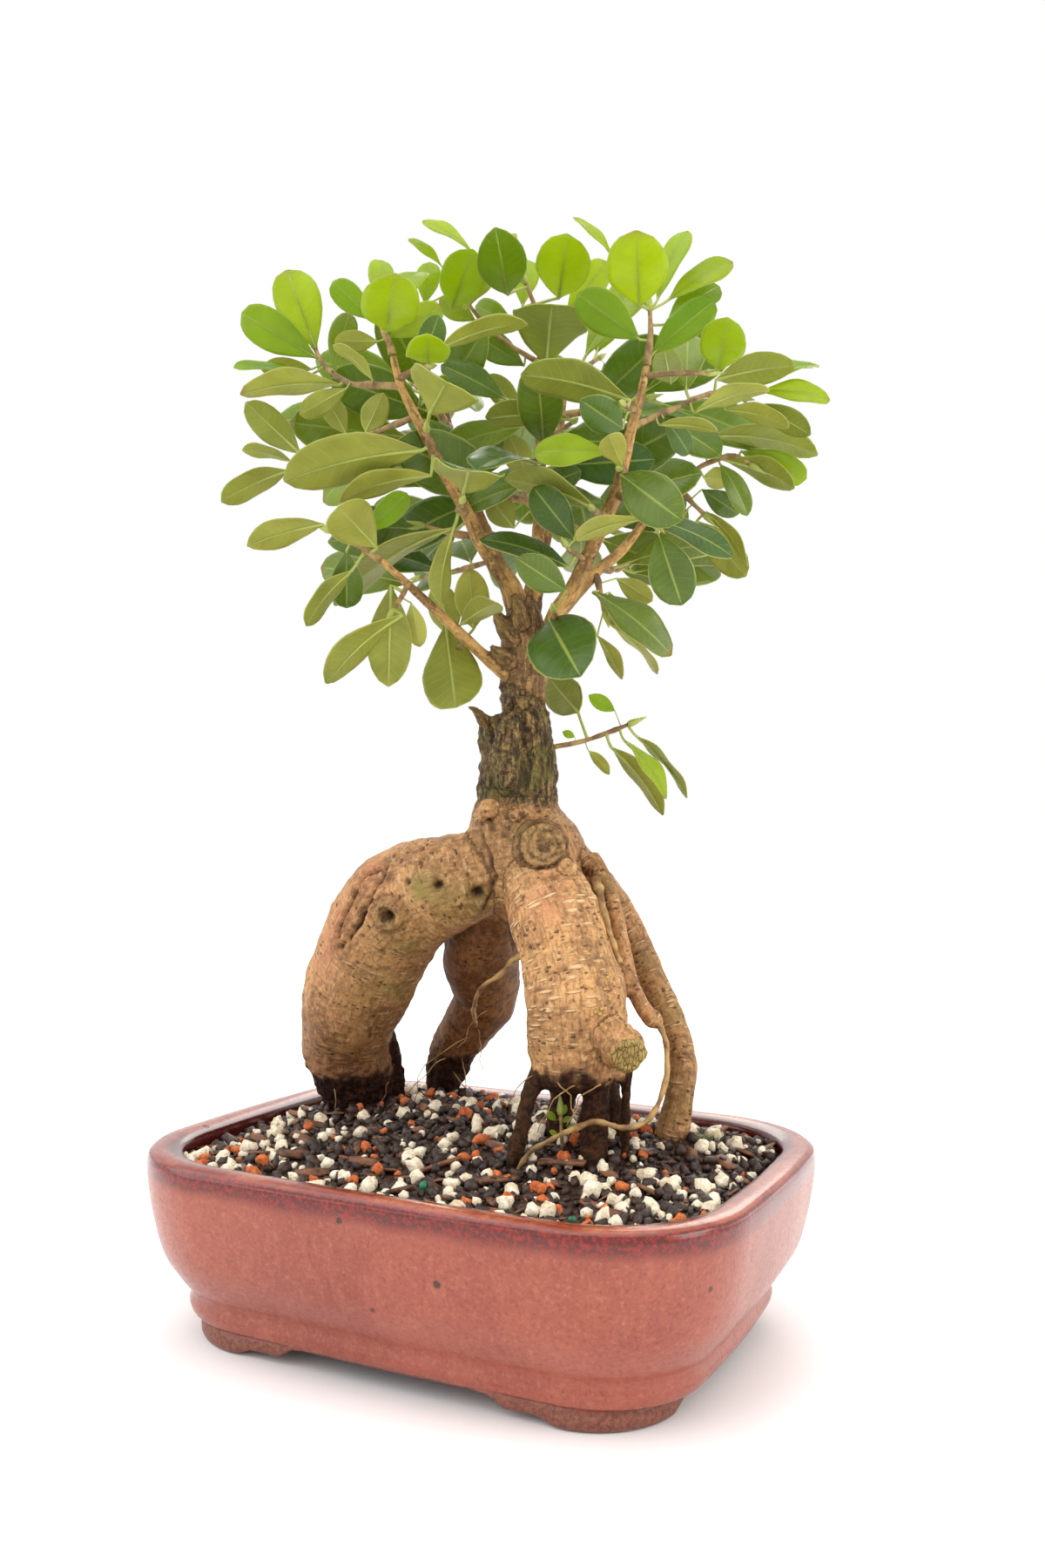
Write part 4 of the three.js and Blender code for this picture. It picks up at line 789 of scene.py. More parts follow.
marks = {
    "stain": softened(stain, 1),
    "algae": 0.8 * patch([(478, 1085, 9), (455, 1150, 11), (430, 1205, 9), (485, 1020, 6),
                          (548, 1040, 6), (520, 1050, 8), (590, 960, 8), (694, 1012, 6),
                          (735, 1100, 8), (772, 1180, 9), (782, 1240, 9), (690, 1090, 5)]),
    "blush": patch([(390, 1050, 11), (372, 1100, 10), (425, 1000, 8), (630, 1030, 8)]),
    # Painted shade in the pits, cracks, creases and the valleys of folds and rings.
    "hollow": np.clip(pit_shade, 0, 1),
    "craggy": np.clip(rough, 0, 1),
    "sawn": softened(sawn_face, 1),
    "rings": softened(np.maximum(burl * (rho < 6.5 * MM), ring_distance < 4.6 * MM), 2),
    # Painted shade on the limbs behind or under others and low on the roots, with the damp back
    # root's own darker bark.
    "dim": np.clip(softened(np.maximum(dim, low), 8), 0, 1),
    "dashes": softened(of_limbs("front_root", "right_root", "slender_root", "burl")
                       + 0.45 * of_limbs("left_root", "neck"), 8),
    "warts": patch([(693, 1142, 4.5), (700, 1122, 3), (660, 1095, 2), (685, 1162, 3)]),
    "branch": softened(of_limbs("branch_", "stub_"), 6),
}
tree_skin = mesh_of("tree_skin", skin)
for name, values in marks.items():
    painted(tree_skin, name, values)
painted(tree_skin, "limb_place", limb_place)
print({name: round(float(values.mean()), 3) for name, values in marks.items()})

# %% [markdown]
# ## Bark finish
#
# The young bark of a ficus root is thin, smooth and matt, grey-tan with a fine grain along
# the root. The graft stump above it is older and cracked. One material mixes them by the
# painted marks, so that neck and stump flow into each other as they do on the plant.

# %% Mix the bark
def bark_finish():
    bark = Finish("bark", 0.68)
    here, band, times, paint = bark.here, bark.band, bark.times, bark.paint
    along_limb = bark.attribute("limb_place", "Vector")

    def grown(scale, detail=3, rough=0.55):
        return bark.noise(bark.stretched(along_limb, scale), 1, detail, rough)

    def spots(scale, low, high):
        return band(bark.cells(bark.stretched(along_limb, scale), 1), low, high, 1, 0)

    patches = bark.noise(here, 70, 5, 0.65)
    speckle = bark.noise(here, 520, 4, 0.7)
    bark.colour = bark.blend(band(patches, 0.36, 0.64), (158, 111, 67), (210, 155, 100))
    paint(band(speckle, 0.5, 0.66, 0, 0.8), (218, 176, 124))
    paint(band(speckle, 0.5, 0.32, 0, 0.8), (104, 76, 50))
    paint(times(bark.attribute("blush"), band(patches, 0.3, 0.6, 0.1, 0.6)), (196, 126, 92))
    drift = band(bark.noise(here, 34, 3, 0.6), 0.42, 0.66, 0.12, 0.9)
    paint(times(bark.math("ADD", bark.attribute("algae"), 0.16), drift), (128, 122, 56))

    grain = grown((900, 900, 210), 4, 0.65)
    paint(band(grain, 0.5, 0.66, 0, 0.6), (104, 76, 48))
    crease = grown((70, 70, 560), 3, 0.6)
    paint(band(crease, 0.58, 0.7, 0, 0.5), (92, 64, 40))
    dash = times(spots((130, 130, 600), 0.2, 0.42), band(grown((60, 60, 110)), 0.45, 0.52))
    dash = times(dash, bark.attribute("dashes"))
    paint(dash, (224, 184, 134), 0.9)
    fleck = times(spots((300, 300, 620), 0.14, 0.3), band(bark.noise(here, 130, 2), 0.46, 0.56))
    paint(fleck, (88, 54, 30), 0.75)
    wart = times(spots((420, 420, 560), 0.2, 0.5), bark.attribute("warts"))
    paint(wart, (214, 170, 96), 0.8)

    twig_tone = bark.blend(band(patches, 0.35, 0.65), (118, 86, 42), (190, 148, 82))
    twig_tone = bark.blend(band(speckle, 0.52, 0.66, 0, 0.7), twig_tone, (206, 172, 104))
    twig_tone = bark.blend(band(grain, 0.5, 0.62, 0, 0.6), twig_tone, (66, 46, 28))
    paint(bark.attribute("branch"), twig_tone, 0.9)
    # Painted shade: darkens the limbs behind or under others and the low parts of the roots, and
    # the darker, damp bark of the back root.
    paint(bark.attribute("dim"), bark.tint((150, 120, 94)))

    craggy = bark.attribute("craggy")
    fissure = grown((520, 520, 130), 5, 0.75)
    crumbly = bark.noise(here, 620, 5, 0.75)
    old = bark.blend(band(crumbly, 0.38, 0.62), (76, 52, 30), (172, 138, 84))
    old = bark.blend(band(patches, 0.46, 0.6, 0, 0.75), old, (116, 108, 50))
    old = bark.blend(band(fissure, 0.5, 0.6, 0, 0.85), old, (38, 26, 16))
    paint(craggy, old)

    ring_tone = bark.blend(band(speckle, 0.4, 0.6), (92, 66, 36), (168, 134, 82))
    paint(bark.attribute("rings"), ring_tone, 0.7)
    cracks = bark.cells(bark.stretched(here, (900, 900, 260)), 1, "DISTANCE_TO_EDGE")
    wood = bark.blend(band(cracks, 0, 0.16), (92, 66, 34), (176, 152, 84))
    wood = bark.blend(band(crumbly, 0.45, 0.6, 0, 0.5), wood, (110, 82, 44))
    paint(bark.attribute("sawn"), wood)
    # Painted shade in the pits, cracks, creases and the valleys of folds and rings.
    hollow = bark.attribute("hollow")
    paint(hollow, (46, 30, 18))
    stain = bark.attribute("stain")
    wet_soil = bark.blend(band(crumbly, 0.44, 0.62), (14, 9, 7), (78, 40, 24))
    paint(band(stain, 0.1, 0.9, 0, 0.97), wet_soil)

    bark.press(grain, 0.35, 0.8)
    bark.press(times(crease, -1), 0.7, 0.6)
    bark.press(bark.math("ADD", dash, fleck), 0.55)
    bark.press(wart, 0.8)
    bark.press(speckle, 0.3, 0.7)
    old_height = bark.math("SUBTRACT", crumbly, band(fissure, 0.45, 0.62))
    bark.press(times(old_height, craggy), 1.2)
    bark.press(times(crumbly, stain), 1.4)
    return bark.done(specular=band(bark.math("MAXIMUM", stain, hollow), 0, 1, 0.35, 0.12),
                     roughness=band(speckle, 0.3, 0.7, 0.5, 0.75))


tree_bark = finished("tree_bark", tree_skin, [bark_finish()], ["tree"])

# %% [markdown]
# ## Thin roots
#
# A few roots are thinner than the grid of the remesh: the aerial root that loops from its
# knot down to the soil, a dead one on the front root and a short loop in the shade. They
# stay plain tubes, with more sides and a wavering thickness, sunk into the bark at both
# ends. Root hairs round the feet are the thinnest tubes, with four sides.

# %% The thin roots
THIN_ROOT_SIDES = 10


def wavering(path, amount, seed):
    """The path with its radius made uneven, and bent a little off its line."""
    rows = []
    for point, radius in path:
        here = point / (6 * MM) + Vector((seed, 0, 0))
        shift = Vector((noise.noise(here), noise.noise(here + Vector((9, 0, 0))),
                        noise.noise(here + Vector((0, 9, 0)))))
        rows.append((point + shift * radius * amount,
                     radius * (1 + 0.5 * noise.noise(here * 2.3))))
    return rows


def root_mesh(name, tubes, number):
    """Tubes as one mesh, with the same attribute that the big limbs have."""
    mesh = mesh_of(name, joined(tubes))
    painted(mesh, "limb_place", places_of(mesh) + number)
    return mesh


thin_roots = root_mesh("thin_roots", [
    tube(wavering(smooth_path(stations, 1.2 * MM), 0.5, number), THIN_ROOT_SIDES)
    for number, stations in enumerate(THIN_ROOTS.values())], 20)

# %% Root hairs, each from a place on the bark, down and away: pixel and length
HAIRS = [(452, 1222, 20), (470, 1230, 14), (448, 1240, 12), (540, 1190, 30), (530, 1215, 22),
         (520, 1230, 18), (548, 1178, 16), (560, 1160, 12), (512, 1215, 15), (735, 1180, 22),
         (742, 1190, 18), (752, 1188, 16), (612, 1235, 9), (640, 1242, 12), (660, 1246, 14),
         (690, 1245, 12), (545, 925, 6), (548, 905, 7), (606, 1180, 10), (384, 1250, 7)]
HAIR_STEPS = 8
hair_draw = repeatable(61)
hairs = []
for px, py, length in HAIRS:
    hit = behind(bark_rays, px, py)
    if hit is None:
        continue
    heading = hair_draw() * 2 * math.pi
    way = Vector((math.cos(heading) * 0.7, math.sin(heading) * 0.7 - 0.5, -0.2))
    path = []
    for i in range(HAIR_STEPS + 1):
        t = i / HAIR_STEPS
        droop = Vector((0, 0, -0.8 * t * t))
        curl = noise.noise(Vector((px, py, t * 3))) * 0.35
        path.append((hit + (way * t + droop + RIGHT * curl * t) * length * MM,
                     (0.26 - 0.14 * t) * MM))
    hairs.append(tube(path, 4))
root_hairs = root_mesh("root_hairs", hairs, 30)
print(len(hairs), "root hairs")


# %% Their finish
def root_finish():
    root = Finish("thin_root_bark", 0.6)
    along = root.attribute("limb_place", "Vector")
    tone = root.noise(along, 160, 4)
    root.colour = root.blend(root.band(tone, 0.35, 0.65), (120, 84, 46), (196, 158, 98))
    height = root.split(root.here)["Z"]
    root.paint(root.band(height, 0.064, 0.072, 0.5, 0), (60, 40, 26))
    root.press(root.noise(along, 700, 4), 0.3, 0.8)
    return root.done()


thin_bark = root_finish()
finished("thin_roots", thin_roots, [thin_bark])
finished("root_hairs", root_hairs, [thin_bark])

# %% [markdown]
# ## Which way each leaf is turned
#
# A leaf is written as pixels: where its blade starts, where its tip is, how wide it looks,
# whether it leans to the viewer (1) or away (-1), and the side it shows: t for the glossy
# top, u for the dull underside, y for a young leaf. In the solid part each leaf was turned
# a little until it cleared its neighbours. The same turns are tried here, and the one
# whose tip the solid part has is taken, so every fine leaf lies where its solid lies.

# %% Leafy shoots: the branch, the stations of the twig, its leaves
SHOOTS = {
    "shoot_left_tip": ("left", [
        [447, 396, 414, 4.4], [438, 372, 413, 3.4], [434, 350, 414, 2.6],
    ], [
        [444, 381, 454, 311, 66, 1, "y"], [428, 368, 383, 324, 32, 0, "y"],
        [436, 348, 438, 302, 30, -1, "y"], [446, 388, 508, 352, 34, -1, "y"],
        [434, 392, 384, 392, 26, -1, "u"], [440, 362, 480, 318, 40, -1, "y"],
    ]),
    "shoot_left_round": ("left", [
        [464, 432, 413, 4], [480, 422, 407, 3.2], [492, 420, 400, 2.6],
    ], [
        [492, 416, 491, 382, 50, 1, "y"], [505, 400, 606, 371, 26, 0, "u"],
        [484, 418, 504, 362, 32, -1, "t"],
    ]),
    "shoot_left_twig": ("left", [
        [449, 449, 418, 4.4], [404, 440, 424, 3.6], [374, 422, 430, 3], [362, 400, 434, 2.4],
    ], [
        [363, 402, 329, 309, 54, 0, "y"], [364, 411, 277, 359, 46, 0, "y"],
        [382, 424, 401, 359, 32, 1, "t"], [358, 424, 300, 424, 24, -1, "u"],
        [391, 442, 276, 453, 30, 0, "u"], [380, 452, 272, 466, 32, -1, "u"],
        [428, 436, 382, 395, 14, 1, "u"], [398, 446, 344, 476, 28, 1, "u"],
        [430, 440, 365, 496, 26, 1, "t"], [352, 432, 267, 424, 14, -1, "y"],
    ]),
    "shoot_left_mid": ("left", [
        [463, 484, 426, 4], [410, 505, 440, 3.2], [352, 530, 450, 2.6],
    ], [
        [345, 521, 282, 462, 38, 0, "u"], [338, 502, 290, 480, 26, -1, "t"],
        [335, 530, 278, 516, 14, -1, "u"], [332, 540, 254, 576, 32, 0, "u"],
        [398, 498, 372, 452, 28, -1, "u"], [420, 496, 440, 452, 32, -1, "u"],
        [386, 516, 352, 545, 24, -1, "t"], [372, 506, 330, 462, 30, -1, "t"],
    ]),
    "shoot_left_front": ("left", [
        [497, 530, 423, 4], [492, 510, 412, 3.2], [490, 495, 403, 2.6],
    ], [
        [484, 517, 326, 552, 60, 0, "u"], [493, 476, 513, 438, 80, 1, "u"],
        [495, 546, 389, 574, 30, 0, "u"],
    ]),
    "shoot_left_low": ("left", [
        [526, 594, 428, 4], [526, 586, 420, 3.2], [530, 576, 410, 2.6],
    ], [
        [532, 567, 539, 536, 80, 1, "u"], [519, 612, 505, 694, 26, 0, "u"],
        [521, 606, 387, 691, 26, 0, "u"],
    ]),
    "shoot_low_left_tip": ("lowLeft", [
        [430, 636, 410, 4], [404, 622, 408, 3.2], [380, 610, 410, 2.6],
    ], [
        [433, 629, 385, 578, 56, 1, "u"], [371, 602, 284, 627, 34, 0, "u"],
        [404, 655, 350, 718, 26, 0, "u"], [398, 632, 398, 695, 40, -1, "t"],
        [420, 612, 468, 566, 30, -1, "y"],
    ]),
    "shoot_low_left_hang": ("lowLeft", [
        [466, 680, 416, 3.6], [458, 690, 414, 3], [452, 700, 412, 2.4],
    ], [
        [449, 672, 446, 788, 52, 0, "u"], [462, 706, 375, 785, 30, 1, "u"],
        [472, 692, 482, 742, 24, -1, "u"],
    ]),
    "shoot_low_under": ("lowLeft", [
        [530, 738, 434, 3.6], [524, 744, 440, 3], [516, 740, 446, 2.4],
    ], [
        [512, 716, 524, 818, 68, 1, "u"], [545, 752, 500, 795, 16, 1, "t"],
        [560, 752, 560, 810, 36, -1, "u"], [520, 730, 502, 672, 38, -1, "u"],
        [544, 722, 540, 654, 42, -1, "u"], [528, 718, 575, 690, 30, -1, "u"],
    ]),
    "shoot_fork_front": ("right", [
        [641, 724, 430, 4], [638, 712, 420, 3.2], [636, 702, 412, 2.6],
    ], [
        [630, 711, 671, 785, 80, 1, "t"], [650, 678, 592, 640, 40, 1, "t"],
    ]),
    "shoot_right_stem_low": ("right", [
        [664, 640, 426, 3.6], [656, 634, 420, 3], [650, 626, 414, 2.4],
    ], [
        [653, 652, 551, 620, 30, 0, "t"], [660, 620, 613, 560, 44, 0, "t"],
    ]),
    "shoot_right_low": ("lowRight", [
        [690, 664, 449, 3.8], [688, 676, 443, 3.2], [694, 700, 440, 2.4],
    ], [
        [681, 680, 770, 753, 38, 1, "t"], [700, 716, 756, 772, 13, 0, "u"],
        [686, 730, 713, 780, 16, -1, "u"], [700, 680, 708, 720, 24, -1, "u"],
        [708, 664, 749, 690, 26, -1, "u"],
    ]),
    "shoot_right_hang": ("right", [
        [716, 571, 416, 4], [734, 586, 408, 3.4], [750, 600, 402, 2.6],
    ], [
        [756, 613, 783, 695, 54, 0, "t"], [744, 596, 841, 640, 28, 0, "t"],
        [738, 596, 660, 620, 20, 0, "u"],
    ]),
    "shoot_right_dark": ("right", [
        [720, 540, 416, 4], [716, 540, 408, 3.2], [712, 538, 400, 2.6],
    ], [
        [713, 545, 786, 600, 58, 1, "t"], [714, 534, 698, 499, 32, 1, "u"],
        [700, 520, 612, 520, 34, 1, "y"],
    ]),
    "shoot_right_edge_on": ("right", [
        [689, 590, 420, 3.8], [684, 588, 414, 3], [680, 584, 408, 2.4],
    ], [
        [684, 585, 582, 551, 16, 0, "u"],
    ]),
    "shoot_back_right": ("lowRight", [
        [784, 563, 469, 4], [796, 578, 470, 3.2], [808, 590, 470, 2.6],
    ], [
        [800, 598, 857, 662, 40, -1, "u"], [811, 588, 860, 650, 14, 0, "u"],
        [806, 562, 848, 590, 28, -1, "t"], [790, 584, 762, 630, 30, -1, "u"],
    ]),
    "shoot_right_end": ("lowRight", [
        [786, 544, 468, 4.2], [816, 530, 466, 3.6], [844, 524, 464, 3.1], [861, 532, 463, 2.3],
    ], [
        [817, 500, 940, 520, 30, 0, "u"], [851, 518, 926, 550, 36, -1, "y"],
        [832, 528, 914, 560, 28, 0, "u"], [847, 556, 912, 566, 28, -1, "u"],
        [827, 533, 859, 592, 26, 1, "t"], [808, 522, 774, 488, 26, -1, "u"],
        [800, 556, 844, 580, 34, -1, "t"], [808, 548, 842, 550, 26, -1, "u"],
    ]),
    "shoot_right_upper": ("right", [
        [736, 492, 418, 4.2], [774, 469, 428, 3.6], [816, 452, 438, 3], [850, 456, 446, 2.4],
    ], [
        [872, 450, 954, 458, 24, 0, "y"], [796, 474, 884, 446, 20, 1, "u"],
        [822, 436, 914, 419, 38, 0, "u"], [862, 466, 931, 499, 30, 0, "u"],
        [832, 470, 908, 489, 22, -1, "u"], [757, 488, 824, 496, 16, 1, "u"],
        [842, 446, 939, 422, 14, -1, "y"], [788, 449, 790, 385, 44, -1, "t"],
        [762, 480, 790, 520, 28, 1, "t"],
    ]),
    "shoot_right_tip": ("right", [
        [745, 404, 411, 4.4], [747, 380, 410, 3.6], [746, 356, 410, 2.8],
    ], [
        [734, 351, 730, 257, 74, 1, "y"], [748, 408, 820, 347, 40, 0, "y"],
        [768, 344, 841, 302, 28, -1, "y"], [755, 344, 790, 266, 28, -1, "y"],
        [735, 390, 664, 338, 48, 0, "y"], [737, 400, 664, 386, 14, 1, "u"],
        [765, 372, 826, 328, 32, -1, "y"], [702, 292, 658, 251, 10, -1, "y"],
    ]),
    "shoot_right_tip_low": ("right", [
        [748, 432, 412, 4], [776, 428, 414, 3.2], [810, 428, 418, 2.6],
    ], [
        [825, 425, 836, 361, 54, 1, "y"], [770, 440, 762, 396, 36, -1, "u"],
    ]),
    "shoot_right_olive": ("right", [
        [728, 470, 411, 4], [722, 468, 404, 3.2], [716, 464, 396, 2.6],
    ], [
        [724, 460, 598, 430, 46, 0, "u"], [715, 492, 665, 458, 42, 1, "t"],
    ]),
    "shoot_middle_left": ("middle", [
        [612, 470, 456, 3.8], [596, 466, 450, 3.2], [584, 462, 444, 2.6],
    ], [
        [580, 458, 507, 420, 34, 1, "t"], [600, 490, 505, 520, 36, 1, "t"],
        [596, 474, 560, 430, 30, -1, "u"], [598, 505, 524, 534, 44, -1, "t"],
    ]),
    "shoot_middle_right": ("middle", [
        [628, 500, 454, 3.8], [646, 492, 444, 3.2], [658, 484, 432, 2.6],
    ], [
        [656, 482, 558, 481, 28, 0, "u"], [662, 470, 684, 420, 38, -1, "t"],
        [650, 500, 700, 530, 34, -1, "t"],
    ]),
    "shoot_middle_tip": ("middle", [
        [620, 388, 457, 3.8], [618, 366, 452, 3.2], [612, 346, 448, 2.6], [604, 326, 446, 2.2],
    ], [
        [583, 338, 568, 258, 62, 1, "t"], [562, 306, 593, 270, 15, 0, "y"],
        [642, 342, 652, 262, 66, 1, "y"], [600, 352, 604, 300, 34, -1, "y"],
        [627, 418, 634, 343, 88, 1, "u"], [650, 360, 697, 300, 36, -1, "y"],
        [590, 372, 548, 352, 30, -1, "t"],
    ]),
    "shoot_middle_high_left": ("middle", [
        [612, 416, 457, 3.6], [580, 392, 458, 3], [548, 362, 458, 2.6], [528, 330, 456, 2.2],
    ], [
        [519, 354, 544, 284, 54, 1, "y"], [541, 288, 485, 254, 12, 0, "y"],
        [531, 356, 567, 321, 15, 1, "u"], [506, 304, 469, 275, 12, 0, "y"],
        [560, 388, 514, 402, 28, 1, "u"], [488, 350, 493, 303, 28, -1, "y"],
        [546, 368, 504, 344, 26, -1, "t"], [602, 420, 546, 384, 34, -1, "t"],
    ]),
    "shoot_middle_low": ("middle", [
        [613, 590, 451, 3.6], [604, 574, 446, 3], [598, 562, 440, 2.4],
    ], [
        [599, 558, 535, 584, 26, 1, "t"], [606, 548, 585, 500, 34, -1, "u"],
        [590, 606, 562, 570, 34, -1, "u"], [618, 560, 668, 540, 30, 1, "t"],
    ]),
    "side_shoot": ("stump", [
        [646, 862, 443, 3.2], [669, 851, 442, 2.8], [706, 838, 441, 2.4], [721, 832, 441, 2],
    ], [
        [660, 846, 646, 840, 14, 0, "y"], [664, 818, 628, 776, 46, -1, "u"],
        [706, 816, 676, 798, 18, 1, "y"], [676, 862, 700, 889, 13, 0, "u"],
        [702, 858, 761, 936, 22, 0, "u"], [717, 850, 765, 918, 16, 1, "y"],
        [732, 846, 787, 917, 12, -1, "u"],
    ]),
}
SPROUT_STEM = [[646, 1335, 411, 2.2], [645, 1308, 411, 2.2], [644, 1280, 411, 2]]
SPROUT_LEAVES = [
    [638, 1286, 628, 1276, 9, 0, "y"], [645, 1280, 650, 1268, 9, 0, "y"],
    [651, 1297, 661, 1291, 9, 0, "y"], [640, 1303, 631, 1298, 7, 0, "y"],
    [646, 1288, 656, 1282, 8, 0, "y"],
]
print(sum(len(rows) for _, _, rows in SHOOTS.values()), "leaves read in the picture")

# %% How a leaf's place follows from its pixels
LEAF_ASPECT = 0.54
LEAF_LONGEST = 50
LEAF_WIDEST = 25
TURNS = [  # how far the tip moves nearer, in millimetres, and how far the leaf rolls
    (0, 0), (5, 0), (-5, 0), (0, 0.3), (0, -0.3), (9, 0.15), (-9, 0.15), (5, 0.5), (-5, 0.5),
    (13, 0), (-13, 0), (9, -0.4), (-9, -0.4), (17, 0.3), (-17, 0.3), (21, 0), (-21, 0),
]


def nearest_on_twig(twig, px, py):
    """The pixel and depth on a twig that lie nearest to a pixel."""
    found = []
    for i, (a, b) in enumerate(zip(twig, twig[1:])):
        span = (b[0] - a[0]) ** 2 + (b[1] - a[1]) ** 2
        t = ((px - a[0]) * (b[0] - a[0]) + (py - a[1]) * (b[1] - a[1])) / span
        t = min(1, max(0.3 if i == 0 else 0, t))
        x, y, depth = (a[k] + t * (b[k] - a[k]) for k in range(3))
        found.append((math.hypot(px - x, py - y), x, y, depth))
    return min(found, key=lambda row: row[0])[1:]


def turned(root, start, tip, apparent, roll, shows):
    """A leaf's place: its foot, where the blade starts, its directions and its size."""
    along = tip - start
    length = along.length
    along.normalize()
    width = min(max(apparent, 0.44 * length), 0.62 * length, LEAF_WIDEST * MM)
    to_viewer = (EYE - start).normalized()
    facing = (to_viewer - along * to_viewer.dot(along)).normalized()
    aside = along.cross(facing)
    turn = math.acos(min(1, apparent / width)) + roll
    flip = -1 if shows == "u" else 1
    normals = [(facing * math.cos(turn) + aside * (sign * math.sin(turn))) * flip
               for sign in (1, -1)]
    return {"root": root, "start": start, "along": along, "length": length, "width": width,
            "normal": max(normals, key=lambda normal: normal.z), "shows": shows}


def leaf_place(twig, row, tip_shift, roll):
    bx, by, tx, ty, wide, side, shows = row
    foot = nearest_on_twig(twig, bx, by)
    depth = foot[2] - 4 * side
    across = math.hypot(tx - bx, ty - by) * depth / FOCAL
    apparent = wide * depth / FOCAL
    full = min(max(across, 0 if side == 0 else apparent / LEAF_ASPECT), LEAF_LONGEST)
    lean = side * math.sqrt(max(0, full ** 2 - across ** 2))
    tip_depth = depth - lean - tip_shift
    grow = tip_depth / depth
    tip = seen(bx + (tx - bx) * grow, by + (ty - by) * grow, tip_depth)
    return turned(seen(*foot), seen(bx, by, depth), tip, apparent * MM, roll, shows)


# %% Read the turns off the solid parts
TOLERANCE = 0.1 * MM
BLADE_THICKNESS = 0.7 * MM


def solid_points(name):
    """A search tree of the corner points of a solid part."""
    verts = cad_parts[name].data.vertices
    tree = kdtree.KDTree(len(verts))
    for i, vert in enumerate(verts):
        tree.insert(vert.co, i)
    tree.balance()
    return tree


def misfit(tree, corners):
    return max(tree.find(corner)[2] for corner in corners)


def tip_misfit(tree, place):
    """How far the corners of a leaf's tip are from those of the solid part."""
    across = place["along"].cross(place["normal"]) * (0.07 * place["width"])
    up = place["normal"] * (BLADE_THICKNESS / 2)
    centre = place["start"] + place["along"] * place["length"]
    return misfit(tree, [centre + across * a + up * b for a in (1, -1) for b in (1, -1)])


def found_in(tree, choices):
    """The places that the solid part has: for each leaf the best of its choices, if any."""
    best = [min(tries, key=lambda place: tip_misfit(tree, place)) for tries in choices]
    return [place for place in best if tip_misfit(tree, place) < TOLERANCE]


def on_axis(stations, target):
    """The nearest place on a limb's axis to a point, with the radius there."""
    rows = station_points(stations)
    found = []
    for (a, radius_a), (b, radius_b) in zip(rows, rows[1:]):
        span = b - a
        t = min(1, max(0, (target - a).dot(span) / span.length_squared))
        found.append((a + span * t, radius_a + (radius_b - radius_a) * t))
    return min(found, key=lambda row: (row[0] - target).length)


def parent_of(branch):
    return LIMBS["stump" if branch == "stump" else "branch_" + branch]


def rooted(tree, branch, twig):
    """The twig with its first station where the solid twig leaves its branch, and the place
    on the branch's axis that it grows from."""
    point, radius = on_axis(parent_of(branch), seen(*twig[0][:3]))
    second = seen(*twig[1][:3])
    way = (second - point).normalized()
    fits = []
    for step in range(60):
        start = point + way * (radius * 0.9 + 0.25 * MM * step)
        px, py, depth = pixel_of(start)
        along = (second - start).normalized()
        across = along.cross(FORWARD)
        if across.length < 0.25:
            across = RIGHT.copy()
        across = (across - along * across.dot(along)).normalized()
        corner = start + across * (twig[0][3] * depth / FOCAL * MM)
        fits.append((misfit(tree, [corner]), [[px, py, depth, twig[0][3]], *twig[1:]], point))
    return min(fits, key=lambda fit: fit[0])


leaves, twig_paths = {}, {}
worst_root = 0
for name, (branch, twig, rows) in SHOOTS.items():
    tree = solid_points(name)
    off, twig, grows_from = rooted(tree, branch, twig)
    worst_root = max(worst_root, off)
    leaves[name] = found_in(tree, [
        [leaf_place(twig, row, shift, roll) for shift, roll in TURNS] for row in rows])
    path = smooth_path(twig, 3 * MM)
    twig_paths[name] = [(grows_from, path[0][1] * 1.3), *path]
print(sum(map(len, leaves.values())), "leaves placed, worst twig root off by",
      round(worst_root / MM, 3), "mm")

# %% [markdown]
# ## The far side and the inside of the crown
#
# The picture doesn't show them, so their shoots follow a rule: each starts part of the way
# along a branch, heads outwards, and carries leaves at the golden angle, which is how a
# ficus sets them so that none shades the next.

# %% Shoots placed by the rule: branch, how far along it, heading, rise, length in mm
RULED_SHOOTS = {
    "far_shoot_1": ("backLeft", 0.97, 150, 0.5, 22),
    "far_shoot_2": ("backLeft", 0.78, 176, 0.3, 30),
    "far_shoot_3": ("backLeft", 0.55, 125, -0.05, 28),
    "far_shoot_4": ("back", 0.97, 80, 0.4, 20),
    "far_shoot_5": ("back", 0.8, 25, 0.1, 26),
    "far_shoot_6": ("back", 0.62, 110, 0.1, 26),
    "far_shoot_7": ("back", 0.42, 65, -0.1, 26),
    "far_shoot_8": ("backLeft", 0.32, 165, -0.15, 32),
    "inner_shoot_1": ("middle", 0.46, 200, 0.2, 16),
    "inner_shoot_2": ("middle", 0.52, 300, 0.1, 18),
    "inner_shoot_3": ("backLeft", 0.88, 280, 0.1, 18),
    "inner_shoot_4": ("backLeft", 0.42, 235, -0.1, 20),
    "inner_shoot_5": ("back", 0.5, 320, 0, 20),
    "inner_shoot_6": ("lowRight", 0.42, 85, 0.1, 18),
}
RULED_LEAVES = 5
CROWN_REACH = (97, 77, 362)
CROWN_UNDERSIDE = 257
GOLDEN_ANGLE = 2.39996
crown_draw = repeatable(20417)


def along_branch(stations, at):
    """The point and radius a share of the way along a branch."""
    rows = station_points(stations)
    i = min(int(at * (len(rows) - 1)), len(rows) - 2)
    t = at * (len(rows) - 1) - i
    return rows[i][0].lerp(rows[i + 1][0], t), rows[i][1] * (1 - t) + rows[i + 1][1] * t


